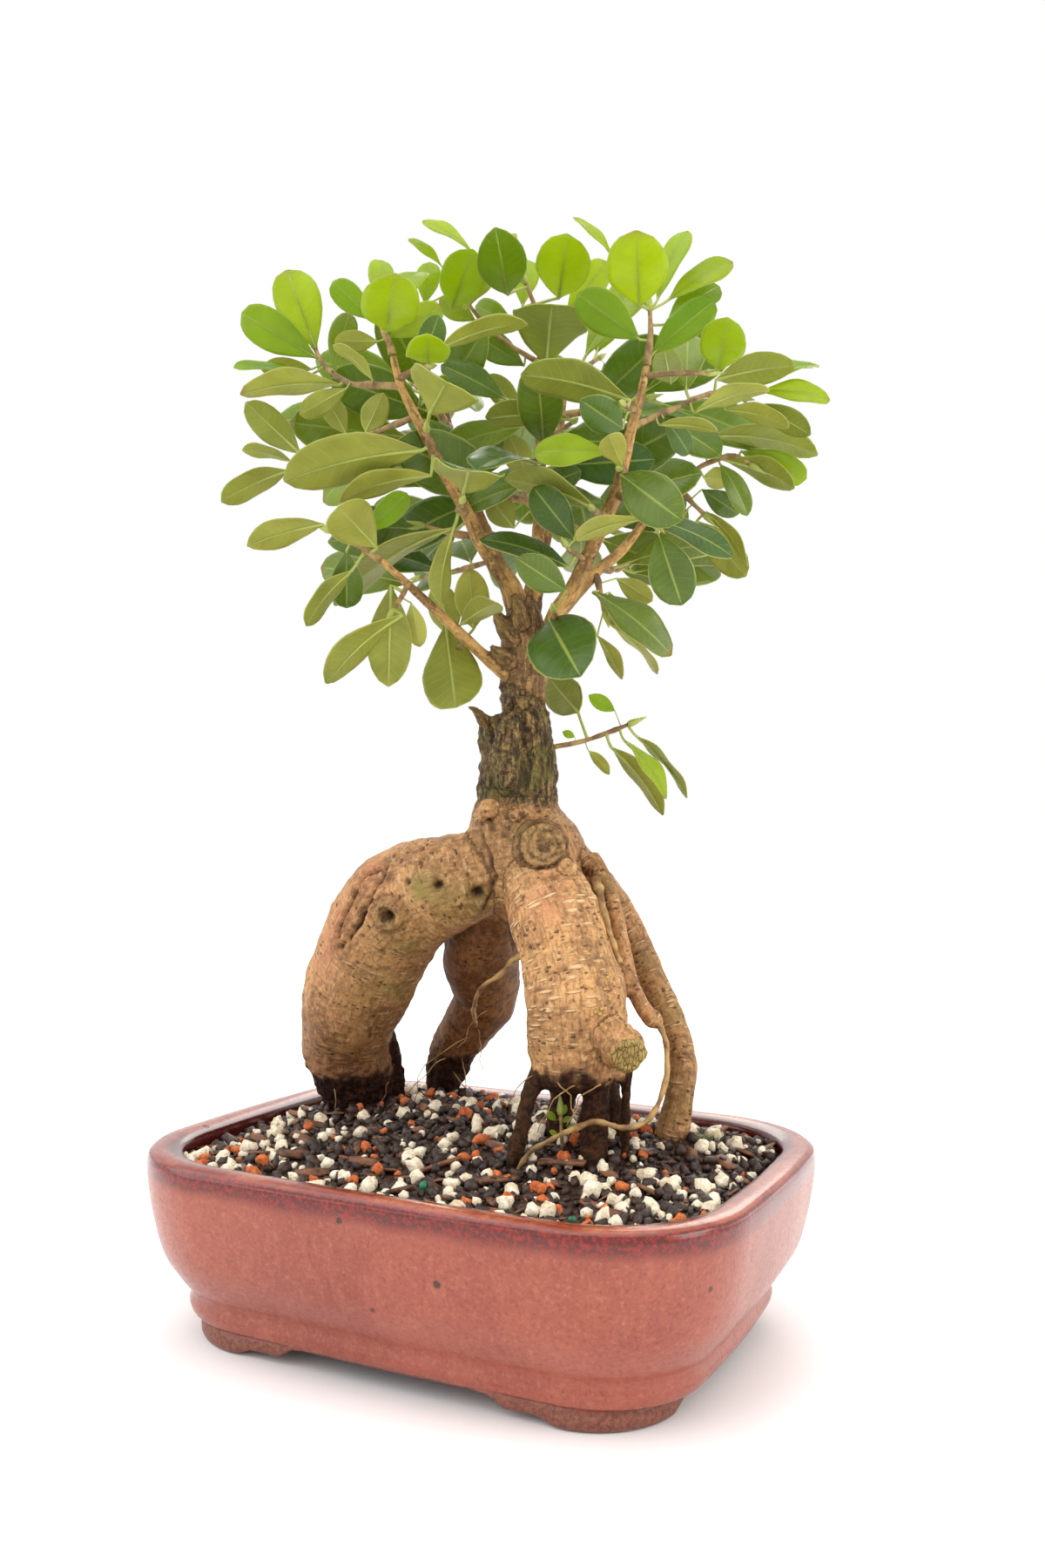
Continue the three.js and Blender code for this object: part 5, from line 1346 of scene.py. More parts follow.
def ruled_leaf(k, twig, way, side, lift):
    """The places to try for one leaf of such a shoot."""
    t = 0.22 + 0.78 * k / (RULED_LEAVES - 1)
    root = twig[0].lerp(twig[2], t)
    twist = k * GOLDEN_ANGLE + crown_draw()
    spread = 0.95 - 0.55 * t
    out = (way * (0.55 + 0.4 * t) + side * (spread * math.cos(twist))
           + lift * (spread * math.sin(twist))).normalized()
    size = (32 + 12 * crown_draw()) * MM
    start = root + out * (6 * MM)
    tip = start + out * size
    for axis in (0, 1):
        tip[axis] = max(-CROWN_REACH[axis] * MM, min(tip[axis], CROWN_REACH[axis] * MM))
    tip.z = min(tip.z - 4 * MM * crown_draw(), CROWN_REACH[2] * MM)
    tip.z = max(tip.z, CROWN_UNDERSIDE * MM)
    apparent = size * (0.3 + 0.2 * crown_draw())
    return [turned(root, start, tip - FORWARD * (shift * MM), apparent, roll, "t")
            for shift, roll in TURNS]


for name, (branch, at, heading, rise, length) in RULED_SHOOTS.items():
    parent, parent_radius = along_branch(parent_of(branch), at)
    angle = math.radians(heading)
    way = Vector((math.cos(angle), math.sin(angle), rise)).normalized()
    first = parent + way * (parent_radius / 0.8 + 1.6 * MM)
    twig = [first + way * (length * t * MM) + Vector((0, 0, 3 * t * t * MM))
            for t in (0, 0.5, 1)]
    side = way.cross(Vector((0, 0, 1))).normalized()
    lift = side.cross(way)
    leaves[name] = found_in(solid_points(name), [
        ruled_leaf(k, twig, way, side, lift) for k in range(RULED_LEAVES)])
    twig_paths[name] = [(parent, 1.5 * MM)] + [
        (twig[0].lerp(twig[1], t), 1.3 * MM) for t in (0, 0.33, 0.66)] + [
        (twig[1], 1.05 * MM), (twig[2], 0.8 * MM)]
wanted = sum(len(rows) for _, _, rows in SHOOTS.values()) + RULED_LEAVES * len(RULED_SHOOTS)
placed = sum(map(len, leaves.values()))
print(placed, "leaves with the ruled shoots,", wanted - placed, "not in the solid parts")

# %% [markdown]
# ## One fine leaf
#
# A ficus leaf is leathery, obovate with a blunt tip, folded a little along its midrib and
# curved down at the end. It starts as a flat grid that is given its thickness, with the
# top and the underside as two finishes. Every leaf is a copy of this sheet, and one
# function bends the copy into its place. The flat grid's own place stays as its UV map,
# so veins can follow the leaf.

# %% The flat sheet: across from -1 to 1, along from -1 to 1, thickness 1
TOP_SIDE, UNDER_SIDE, STALK, WOOD = range(4)
sheet = bmesh.new()
bmesh.ops.create_grid(sheet, x_segments=10, y_segments=17, size=1)
bmesh.ops.solidify(sheet, geom=sheet.faces[:], thickness=1)
uv_layer = sheet.loops.layers.uv.new("leaf")
middle_z = (max(v.co.z for v in sheet.verts) + min(v.co.z for v in sheet.verts)) / 2
bmesh.ops.translate(sheet, verts=sheet.verts, vec=(0, 0, -middle_z))
bmesh.ops.recalc_face_normals(sheet, faces=sheet.faces)
for face in sheet.faces:
    face.material_index = TOP_SIDE if face.normal.z > 0.5 else UNDER_SIDE
    for loop in face.loops:
        loop[uv_layer].uv = (loop.vert.co.x * 0.5 + 0.5, loop.vert.co.y * 0.5 + 0.5)
flat_leaf = mesh_of("flat_leaf", sheet, outward=False)
flat = places_of(flat_leaf)
print(len(flat_leaf.polygons), "faces in a leaf")

# %% Its outline, and how it bends
OUTLINE_AT = [0, 0.05, 0.12, 0.25, 0.4, 0.55, 0.7, 0.82, 0.91, 0.96, 0.985, 1]
ROUND_TIP = [0.05, 0.12, 0.28, 0.58, 0.86, 1, 0.99, 0.88, 0.68, 0.48, 0.3, 0.06]
POINTED_TIP = [0.05, 0.16, 0.38, 0.7, 0.93, 1, 0.9, 0.7, 0.45, 0.26, 0.15, 0.05]
LEAF_ARCH = 0.28
SLENDER_BELOW = 212 * MM  # the leaves under this height are slender
SHEET_THICK = 0.42 * MM


def bent(place, draw):
    """The points of the flat sheet, bent to the place of a leaf."""
    start, along, normal = (np.array(place[key]) for key in ("start", "along", "normal"))
    aside = np.cross(along, normal)
    x, y, z = flat.T
    v = (y + 1) / 2
    blunt = 0.9 if place["shows"] == "y" else 0.25 + 0.5 * draw()
    if place["start"].z < SLENDER_BELOW:
        blunt = -0.15
    outline = np.array(ROUND_TIP) * blunt + np.array(POINTED_TIP) * (1 - blunt)
    half = np.interp(v, OUTLINE_AT, outline) * place["width"] / 2
    fold = 0.12 + 0.2 * draw()
    wave = 0.06 + 0.09 * draw()
    phase = draw() * 6
    twist = (draw() - 0.5) * 0.5
    sag = (draw() - 0.5) * 0.06
    lift = half * (fold * np.abs(x) - 0.5 * fold * x * x)
    lift += half * wave * x * x * np.sin(9 * v + phase + 2 * np.sign(x))
    lift += half * x * twist * (v - 0.3)
    lift += sag * place["length"] * v * v
    lift += z * SHEET_THICK * (1 - 0.3 * np.abs(x))
    slope = LEAF_ARCH * (1 - 2 * v)
    up = (normal - slope[:, None] * along) / np.sqrt(1 + slope ** 2)[:, None]
    centre = (start + (place["length"] * v)[:, None] * along
              + (LEAF_ARCH * place["length"] * v * (1 - v))[:, None] * normal)
    sheet_points = centre + (half * x)[:, None] * aside + lift[:, None] * up
    return np.clip(sheet_points, solid_low, solid_high)


# %% A leaf and its stalk, which runs on as the raised midrib of the underside
FULL_STALK_FROM = 30 * MM  # a shorter leaf has a thinner stalk


def leaf_parts(place, draw):
    """Two bmeshes: the blade, and the stalk with the midrib."""
    blade_mesh = flat_leaf.copy()
    blade_mesh.vertices.foreach_set("co", bent(place, draw).ravel())
    blade = bmesh.new()
    blade.from_mesh(blade_mesh)
    bpy.data.meshes.remove(blade_mesh)

    root, start, along, normal, length = (
        place[key] for key in ("root", "start", "along", "normal", "length"))
    path = [(root, 0.72), (root.lerp(start, 0.3) - normal * (0.25 * MM), 0.58),
            (root.lerp(start, 0.7) - normal * (0.3 * MM), 0.55), (start, 0.6)]
    for t in (0.08, 0.2, 0.35, 0.5, 0.65, 0.8, 0.93):
        bow = LEAF_ARCH * length * t * (1 - t)
        path.append((start + along * (length * t) + normal * (bow - 0.22 * MM), 0.62 - 0.52 * t))
    scale = min(1, length / FULL_STALK_FROM)
    return blade, tube([(point, radius * MM * scale) for point, radius in path], 7, STALK)


# %% [markdown]
# ## Twigs and buds
#
# Each leafy shoot is one piece, as one node of the solid model is: its twig, its leaves on
# their stalks, and a bud at the end, wrapped to a point as every ficus shoot ends. Its
# leaves keep their age as an attribute, so one finish gives young and old leaves.

# %% Build a shoot
BUD_LENGTH = 7 * MM
BUD_SHAPE = ((0, 0.8), (0.2, 1.1), (0.45, 0.9), (0.75, 0.45), (1, 0.08))
CROWN_FOOT, CROWN_DEPTH = 0.235, 0.11  # the higher in the crown, the younger the leaf


def shoot_mesh(name, path, places, draw):
    """The mesh of a whole shoot, with the age and tone of each leaf on its points."""
    tip, before = path[-1][0], path[-2][0]
    way = (tip - before).normalized()
    bud = [(tip + way * (BUD_LENGTH * t), BUD_LENGTH * 0.16 * width) for t, width in BUD_SHAPE]
    parts = [(tube(wavering(path, 0.35, len(name)), 10, WOOD), 0), (tube(bud, 7, STALK), 1)]
    for place in places:
        high = min(1, max(0, (place["start"].z - CROWN_FOOT) / CROWN_DEPTH))
        age = {"y": 0.72 + 0.28 * draw(), "u": 0.06 + 0.4 * high ** 2,
               "t": 0.02 + 0.55 * high ** 2}[place["shows"]]
        parts += [(part, age) for part in leaf_parts(place, draw)]
    whole = bmesh.new()
    young = whole.verts.layers.float.new("young")
    tone = whole.verts.layers.float.new("tone")
    for part, age in parts:
        new = add_part(whole, part)
        leaf_tone = draw()
        for vert in new:
            vert[young] = age
            vert[tone] = leaf_tone
    return mesh_of(name, whole, outward=False)


# %% [markdown]
# ## Leaf finishes
#
# The top is glossy and deep green, with a pale midrib and fine side veins that are pressed
# in. The underside is dull, olive, with the veins raised and tiny pale dots. Young leaves
# are yellow-green on both sides. Light passes through all of them, most through the young
# ones, and a thin pale line runs round the edge.

# %% Mix the top and the underside
def leaf_finish(name, upper):
    leaf = Finish(name, 0.3 if upper else 0.5)
    here, band, times, paint = leaf.here, leaf.band, leaf.times, leaf.paint
    if upper:
        old, new = ((48, 84, 28), (108, 128, 38)), ((88, 138, 12), (170, 194, 30))
        vein_colour, vein_share, vein_height, gloss = (164, 178, 84), 0.09, -1, (0.22, 0.38)
    else:
        old, new = ((134, 138, 48), (186, 182, 78)), ((136, 160, 26), (176, 188, 44))
        vein_colour, vein_share, vein_height, gloss = (178, 184, 110), 0.13, 1, (0.42, 0.58)
    uv = leaf.split(leaf.node("UVMap", uv_map="leaf").outputs[0])
    across = leaf.math("ABSOLUTE", leaf.math("MULTIPLY_ADD", uv["X"], 2, -1))
    age = leaf.attribute("young")
    young = band(age, 0, 0.8, smooth=False)
    tone = leaf.attribute("tone")

    slant = leaf.math("MULTIPLY_ADD", across, -1.5, times(uv["Y"], 11))
    slant = leaf.math("ADD", slant, times(leaf.noise(here, 180, 1), 0.5))
    side_vein = times(band(leaf.math("PINGPONG", slant, 0.5), 0, 0.12, 1, 0),
                      band(across, 0.75, 0.95, 1, 0))
    midrib = band(across, 0.025, 0.07, 1, 0)
    net = band(leaf.cells(here, 950, "DISTANCE_TO_EDGE"), 0, 0.12, 1, 0)

    leaf.colour = leaf.blend(young, leaf.blend(tone, *old), leaf.blend(tone, *new))
    mottle = band(leaf.noise(here, 90, 3), 0.35, 0.65, 0.85, 1.12, smooth=False)
    leaf.colour = leaf.tint(leaf.node(
        "CombineColor", {"Red": mottle, "Green": mottle, "Blue": mottle}).outputs[0])
    paint(side_vein, vein_colour, vein_share)
    paint(net, vein_colour, 0.05)
    paint(midrib, vein_colour, 0.75)
    paint(band(across, 0.94, 0.99), (206, 208, 120), 0.6)
    if not upper:
        paint(band(leaf.cells(here, 420), 0.06, 0.14, 1, 0), (200, 200, 140), 0.3)
    paint(band(leaf.noise(here, 60, 5, 0.7), 0.6, 0.75, 0, 0.16), (176, 168, 128))
    paint(times(band(uv["Y"], 0.9, 1), band(tone, 0.7, 0.9)), (150, 112, 60), 0.7)

    leaf.press(times(leaf.math("ADD", side_vein, midrib), vein_height), 0.1, 0.25)
    leaf.press(leaf.noise(here, 90, 2), 0.5, 0.35)
    leaf.done(roughness=band(leaf.noise(here, 120, 3), 0.3, 0.7, *gloss))

    glow = leaf.blend(young, (150, 166, 28), (206, 220, 26))
    glow = leaf.blend(times(leaf.math("MAXIMUM", side_vein, midrib), 0.5), glow, (200, 214, 90))
    through = leaf.node("BsdfTranslucent", {"Color": glow, "Normal": leaf.bumps})
    share = band(age, 0, 0.8, 0.26, 0.55, smooth=False)
    mix = leaf.node("MixShader", {0: share, 1: leaf.shader.outputs[0], 2: through.outputs[0]})
    leaf.put(leaf.output.inputs["Surface"], mix.outputs[0])
    return leaf.material


def stalk_finish():
    stalk = Finish("leaf_stalk", 0.42)
    stalk.colour = stalk.blend(stalk.noise(stalk.here, 160, 2), (138, 150, 58), (178, 184, 92))
    stalk.press(stalk.noise(stalk.here, 900, 2), 0.1, 0.5)
    return stalk.done()


def twig_finish():
    twig = Finish("twig_bark", 0.6)
    tone = twig.band(twig.noise(twig.here, 220, 4), 0.35, 0.65)
    twig.colour = twig.blend(tone, (112, 82, 48), (168, 138, 84))
    twig.paint(twig.band(twig.cells(twig.here, 520), 0.1, 0.22, 1, 0), (204, 176, 120), 0.5)
    twig.press(twig.noise(twig.here, 800, 3), 0.25, 0.8)
    return twig.done()


leaf_finishes = [leaf_finish("leaf_top", True), leaf_finish("leaf_underside", False),
                 stalk_finish(), twig_finish()]

# %% Every shoot
leaf_draw = repeatable(4711)
for name, places in leaves.items():
    mesh = shoot_mesh(name + "_leaves", twig_paths[name], places, leaf_draw)
    finished(name + "_leaves", mesh, leaf_finishes, [name])

# %% [markdown]
# ## The seedling between the front roots
#
# A weed seedling with a few bright round leaves stands in the shade of the front root. Its
# leaves are the same bent sheets, only small, and two of them are smaller still.

# %% The seedling
sprout_places = [leaf_place(SPROUT_STEM, row, 0, 0) for row in SPROUT_LEAVES]
sprout_path = smooth_path(SPROUT_STEM, 1.5 * MM)
sprout_mesh = shoot_mesh("sprout_leaves", sprout_path, sprout_places, leaf_draw)
finished("sprout_leaves", sprout_mesh, leaf_finishes, ["sprout"])

# %% [markdown]
# ## The pot
#
# The pot is slip-cast: a rounded oblong whose wall swells from a narrow belt to a rounded
# rim. One outline is drawn as a loop of points and extruded ring by ring, each ring moved
# in or out and up by a profile, over the rim and down the inside. The four bracket feet
# are a second, lower ring whose underside rises in an ogee between the corners.

# %% The rounded oblong outline, and the profile of the wall
POT_LENGTH, POT_DEPTH, POT_HEIGHT = 199.8, 156.8, 58.5
CORNER_RADIUS = 43
LIP_WIDTH = 10.4
FLOOR_TOP = 11.5
BELT_BOTTOM = 6
SIDE_BOW = 0.9
CORNER_STEPS, SIDE_STEPS = 14, 20
OUTSIDE = [(18, BELT_BOTTOM), (14.6, 7.2), (13, 10.5), (13.4, 14.2), (9.6, 19.4), (5, 27),
           (2.2, 37), (0.3, 49), (0, 54.5), (0.6, 57), (2.2, 58.3)]
INSIDE = [(LIP_WIDTH / 2, POT_HEIGHT), (LIP_WIDTH - 1.2, 57.6), (LIP_WIDTH, 55.5),
          (LIP_WIDTH + 0.2, 46), (LIP_WIDTH + 3, 30), (LIP_WIDTH + 13, FLOOR_TOP)]


def oblong(half_length, half_depth, radius):
    """Points round a rounded oblong, in millimetres, whose sides bow out a little."""
    corners = [(sx * (half_length - SIDE_BOW - radius), sy * (half_depth - SIDE_BOW - radius))
               for sx, sy in ((1, 1), (-1, 1), (-1, -1), (1, -1))]
    outline = []
    for corner, (cx, cy) in enumerate(corners):
        for i in range(CORNER_STEPS + 1):
            angle = (corner + i / CORNER_STEPS) * math.pi / 2
            outline.append((cx + radius * math.cos(angle), cy + radius * math.sin(angle)))
        x, y = outline[-1]
        turn = (corner + 1) * math.pi / 2
        next_x, next_y = corners[(corner + 1) % 4]
        end_x = next_x + radius * math.cos(turn)
        end_y = next_y + radius * math.sin(turn)
        for i in range(1, SIDE_STEPS + 1):
            t = i / (SIDE_STEPS + 1)
            out_by = SIDE_BOW * math.sin(math.pi * t)
            outline.append((x + (end_x - x) * t + out_by * math.cos(turn),
                            y + (end_y - y) * t + out_by * math.sin(turn)))
    return outline


def inset_outline(inset):
    return oblong(POT_LENGTH / 2 - inset, POT_DEPTH / 2 - inset,
                  max(CORNER_RADIUS - inset * 0.8, 14))


def finer(profile, steps):
    """A smooth curve through the profile's points."""
    rows = [Vector(row) for row in (profile[0], *profile, profile[-1])]
    curve = [tuple(cubic(*four, i / steps)) for four in zip(rows, rows[1:], rows[2:], rows[3:])
             for i in range(steps)]
    return [*curve, profile[-1]]


# %% Draw a loop of points, then extrude it ring by ring
def first_ring(outline, height):
    """A bmesh with one loop of points, each with its number round the outline."""
    bm = bmesh.new()
    number = bm.verts.layers.int.new("number")
    made = bmesh.ops.create_circle(bm, segments=len(outline), radius=1)
    for i, vert in enumerate(made["verts"]):
        vert[number] = i
    move_ring(bm, made["verts"], outline, height)
    return bm, bm.edges[:]


def move_ring(bm, verts, outline, height):
    """Moves numbered points to an outline, at a height or at the height for each place."""
    number = bm.verts.layers.int["number"]
    for vert in verts:
        x, y = outline[vert[number]]
        level = height(x, y) if callable(height) else height
        vert.co = Vector((x, y, level)) * MM


def next_ring(bm, edges, outline, height):
    """Extrudes the last loop and moves the new one to an outline at a height."""
    made = bmesh.ops.extrude_edge_only(bm, edges=edges)["geom"]
    move_ring(bm, [part for part in made if isinstance(part, bmesh.types.BMVert)],
              outline, height)
    return [part for part in made if isinstance(part, bmesh.types.BMEdge)
            and all(vert in made for vert in part.verts)]


# %% The wall, over the rim and down inside
shell, loop = first_ring(inset_outline(OUTSIDE[0][0]), OUTSIDE[0][1])
bmesh.ops.contextual_create(shell, geom=loop)
wall = finer(OUTSIDE, 5)[1:] + finer(INSIDE, 4)
for inset, height in wall:
    loop = next_ring(shell, loop, inset_outline(inset), height)
bmesh.ops.contextual_create(shell, geom=loop)
print(len(wall), "rings in the wall of the pot")

# %% The bracket feet
FOOT_WALL = 11
FOOT_TOP = 7.2
FOOT_LONG, FOOT_DEEP = 80.5, 63.1
FOOT_LONG_GAP, FOOT_DEEP_GAP = (54, 35), (38, 25)


def foot_edge(distance, full_end, lobe_end):
    """Height of a foot's lower edge: 0 by the corner, a low lobe, then open."""
    ogee = 2.3 / (1 + math.exp((distance - full_end + 3.4) / 0.9))
    lobe = BELT_BOTTOM / (1 + math.exp((distance - lobe_end + 0.6) / 0.8))
    return max(ogee, lobe)


def foot_bottom(x, y):
    if abs(y) > FOOT_DEEP - FOOT_WALL - 2 and abs(x) < FOOT_LONG_GAP[0]:
        return foot_edge(abs(x), *FOOT_LONG_GAP)
    if abs(x) > FOOT_LONG - FOOT_WALL - 2 and abs(y) < FOOT_DEEP_GAP[0]:
        return foot_edge(abs(y), *FOOT_DEEP_GAP)
    return 0


def foot_outline(shrink):
    return oblong(FOOT_LONG - shrink, FOOT_DEEP - shrink, 26.5 - 0.6 * shrink)


feet, loop = first_ring(foot_outline(2.3), foot_bottom)
first_loop = loop
for shrink, rise in ((0.7, 0.5), (0.1, 1.6), (0, 3), (0, 6)):
    def lifted(x, y, rise=rise):
        return foot_bottom(x, y) + rise * (FOOT_TOP - foot_bottom(x, y)) / 6
    loop = next_ring(feet, loop, foot_outline(shrink), lifted)
loop = next_ring(feet, loop, foot_outline(FOOT_WALL), FOOT_TOP)
loop = next_ring(feet, loop, foot_outline(FOOT_WALL), foot_bottom)
bmesh.ops.bridge_loops(feet, edges=loop + first_loop)
feet_mesh = mesh_of("pot_feet", feet)
print(len(feet_mesh.polygons), "faces in the feet")

# %% [markdown]
# ## Drain holes
#
# Two holes in the floor let water out. They are cut by a Boolean modifier with two short
# cylinders, which is simpler than weaving the holes into the loops of the floor.

# %% Cut the drain holes and join the feet on
DRAIN_OFFSET, DRAIN_RADIUS = 42, 7
drills = joined([tube([(Vector((side * DRAIN_OFFSET, 0, level)) * MM, DRAIN_RADIUS * MM)
                       for level in (0, 20)], 40) for side in (-1, 1)])
drill = added("drill", mesh_of("drill", drills))
blank = added("blank", mesh_of("blank", shell))
cut = blank.modifiers.new("drain", "BOOLEAN")
cut.object = drill
cut.operation = "DIFFERENCE"
pot_bm = bmesh.new()
pot_bm.from_mesh(with_modifiers(blank))
bpy.data.objects.remove(drill)
pot_bm.from_mesh(feet_mesh)
for vert in pot_bm.verts:
    bumpy = noise.noise(vert.co / (22 * MM)) * 0.25 + noise.noise(vert.co / (7 * MM)) * 0.07
    if 8 * MM < vert.co.z < 57 * MM:
        vert.co += Vector((vert.co.x, vert.co.y, 0)).normalized() * (bumpy - 0.2) * MM
pot_mesh = mesh_of("pot_body", pot_bm)

# %% [markdown]
# ## The glaze
#
# The pot was dipped in an iron-red glaze. It pools dark and glossy in a narrow band round
# the edge of the rim, breaks to brown on top of the lip, and lies on the wall as a fine
# speckle with a few dark pinholes. The feet were wiped nearly bare.
# All of it follows height and a little noise, so Object coordinates are enough.

# %% Mix the glaze
def glaze_finish():
    glaze = Finish("red_glaze", 0.25)
    here, band, times, paint = glaze.here, glaze.band, glaze.times, glaze.paint
    place = glaze.split(here)
    height = place["Z"]
    streak = glaze.noise(glaze.stretched(here, (260, 260, 60)), 1, 4, 0.6)
    cloud = band(glaze.noise(here, 20, 4, 0.6), 0.35, 0.65)
    fine = glaze.noise(here, 760, 5, 0.75)
    glaze.colour = glaze.blend(cloud, (138, 58, 38), (156, 74, 52))
    paint(band(streak, 0.45, 0.7, 0, 0.3), (172, 94, 68))
    paint(band(fine, 0.52, 0.66, 0, 0.6), (112, 44, 34))
    paint(band(fine, 0.46, 0.34, 0, 0.5), (190, 118, 92))
    wander = glaze.math("MULTIPLY_ADD", glaze.noise(here, 60, 3), 0.0024, -0.0012)
    level = glaze.math("ADD", height, wander)
    pool = times(band(level, 0.0495, 0.054), band(level, 0.0572, 0.0584, 1, 0))
    paint(pool, glaze.blend(band(fine, 0.44, 0.6), (74, 8, 6), (140, 26, 15)), 0.92)
    rim_top = band(height, 0.0574, 0.0583)
    lip_tone = band(glaze.noise(here, 34, 5, 0.7), 0.4, 0.6)
    lip_tone = glaze.blend(lip_tone, (128, 42, 26), (176, 100, 72))
    lip_tone = glaze.blend(band(fine, 0.52, 0.64, 0, 0.6), lip_tone, (96, 24, 18))
    paint(rim_top, lip_tone, 0.9)
    squared = glaze.math("ADD", *[
        glaze.math("POWER", glaze.math("ABSOLUTE", glaze.math("DIVIDE", place[axis], half)), 5)
        for axis, half in (("X", 0.1), ("Y", 0.0785))])
    inside = times(band(squared, 0.6, 0.68, 1, 0), band(height, 0.034, 0.04))
    paint(inside, (74, 18, 14), 0.85)
    foot = band(level, 0.0055, 0.0078, 1, 0)
    paint(foot, glaze.blend(band(fine, 0.4, 0.62), (128, 78, 58), (96, 50, 38)), 0.85)
    pinhole = band(glaze.cells(here, 34), 0.028, 0.05, 1, 0)
    paint(pinhole, (44, 22, 16), 0.9)

    glaze.press(streak, 0.3, 0.25)
    glaze.press(fine, 0.12, 0.4)
    glaze.press(times(pinhole, -1), 0.8, 0.8)
    smooth = times(glaze.math("MAXIMUM", pool, rim_top), -0.14)
    gloss = glaze.math("ADD", band(fine, 0.3, 0.7, 0.26, 0.42),
                       glaze.math("ADD", times(foot, 0.4), smooth))
    return glaze.done(roughness=gloss, coat=0.3, coat_roughness=0.1)


finished("pot_body", pot_mesh, [glaze_finish()], ["pot"])

# %% [markdown]
# ## The soil
#
# The mix is black peat and bark with cream pumice and orange burnt clay on top. A grid
# pulled to the outline of the pot makes the bed: it mounds up round the roots and is
# roughened by noise.

# %% The height of the soil, as in the solid
SOIL_EDGE = 53.2
MOUND_RISE = 9.5
ROOT_COLLAR_RISE = 3.5
ROOT_COLLARS = [(-63, 20), (-44, 53), (35, -6), (57, 21)]
SOIL_GAP = 0.3


def soil_height(x, y):
    """Height of the soil in millimetres at a place in millimetres."""
    edge = min(100 - LIP_WIDTH - abs(x), 78.5 - LIP_WIDTH - abs(y))
    fade = min(1, max(0, edge / 16))
    broad = math.exp(-(((x + 4) / 78) ** 2) - (((y - 22) / 46) ** 2))
    height = SOIL_EDGE + fade * MOUND_RISE * broad
    for cx, cy in ROOT_COLLARS:
        square = (x - cx) ** 2 + (y - cy) ** 2
        height += min(1, fade * 1.6) * ROOT_COLLAR_RISE * math.exp(-square / 260)
    return height + 0.5 * fade * math.sin(x * 0.31 + 1) * math.sin(y * 0.37)


# %% The bed
STILL_EDGE = 0.985  # the border beyond it keeps to the wall of the pot
bed_outline = inset_outline(LIP_WIDTH + SOIL_GAP)
bed_angles, bed_reach = zip(*sorted(
    (math.atan2(y, x), math.hypot(x, y)) for x, y in bed_outline))


def to_outline(x, y):
    """Moves a place in the square from -1 to 1 to its place in the pot."""
    angle = math.atan2(y * POT_DEPTH, x * POT_LENGTH)
    reach = np.interp(angle, bed_angles, bed_reach, period=2 * math.pi) * max(abs(x), abs(y))
    return reach * math.cos(angle), reach * math.sin(angle)


bed = bmesh.new()
bmesh.ops.create_grid(bed, x_segments=150, y_segments=120, size=1)
for vert in bed.verts:
    x, y = to_outline(vert.co.x, vert.co.y)
    clod = noise.fractal(Vector((x, y, 3)) / 5, 0.8, 2.1, 4) * 0.9
    still = max(abs(vert.co.x), abs(vert.co.y)) > STILL_EDGE
    vert.co = Vector((x, y, soil_height(x, y) - 0.5 + (0 if still else clod))) * MM
border = [edge for edge in bed.edges if edge.is_boundary]
skirt = bmesh.ops.extrude_edge_only(bed, edges=border)["geom"]
for vert in skirt:
    if isinstance(vert, bmesh.types.BMVert):
        vert.co = Vector((vert.co.x * 0.86, vert.co.y * 0.84, (FLOOR_TOP + SOIL_GAP) * MM))
bmesh.ops.contextual_create(bed, geom=[
    part for part in skirt if isinstance(part, bmesh.types.BMEdge) and part.is_boundary])
bed_mesh = mesh_of("soil_bed", bed)

# %% [markdown]
# ## Finishes of the soil
#
# Peat is nearly black and damp, pumice is cream with fine pores, burnt clay is orange, and
# bark chips are brown with a grain. One function mixes them all. Each loose piece has its
# own tone as an attribute, so that no two neighbours look the same.

# %% One recipe for everything in the soil, and the bed itself
def loose_finish(name, dark, light, roughness, scale, depth, pores=0, tone=True):
    """A finish for loose pieces: two colours, a mottle, and pores if wanted."""
    loose = Finish(name, roughness)
    mottle = loose.noise(loose.here, scale, 4, 0.65)
    loose.colour = loose.blend(loose.band(mottle, 0.3, 0.7), dark, light)
    if tone:
        loose.paint(loose.band(loose.attribute("tone"), 0, 1, 0, 0.45, smooth=False), light)
    loose.press(mottle, depth, 0.9)
    if pores:
        pore = loose.band(loose.cells(loose.here, 1500), 0.1, 0.35, 1, 0)
        loose.paint(pore, dark, pores)
        loose.press(loose.times(pore, -1), 0.3, 0.8)
    return loose.done()


damp_peat = loose_finish("damp_peat", (12, 7, 5), (64, 38, 22), 0.45, 420, 0.9, tone=False)
soil_bed = finished("soil_bed", bed_mesh, [damp_peat], ["soil"])

# %% [markdown]
# ## Loose pieces on the soil
#
# A few shapes of each kind are made once: a rough lump for pumice and clay, a flat torn
# chip for bark, a soft crumb for peat. Copies are turned, stretched and laid down at
# random, more pumice near the front rim, and none inside a root. Each kind is one object,
# and each piece has only a few faces because there are hundreds of them.

# %% Free places, and the shapes to lay there
PLACE_TRIES = 60
CHIP_LENGTH, CHIP_WIDTH, CHIP_THICK = 1.6, 0.6, 0.28
graph = bpy.context.evaluated_depsgraph_get()
tree_rays, bed_rays = (BVHTree.FromObject(piece, graph) for piece in (tree_bark, soil_bed))
soil_draw = repeatable(977)


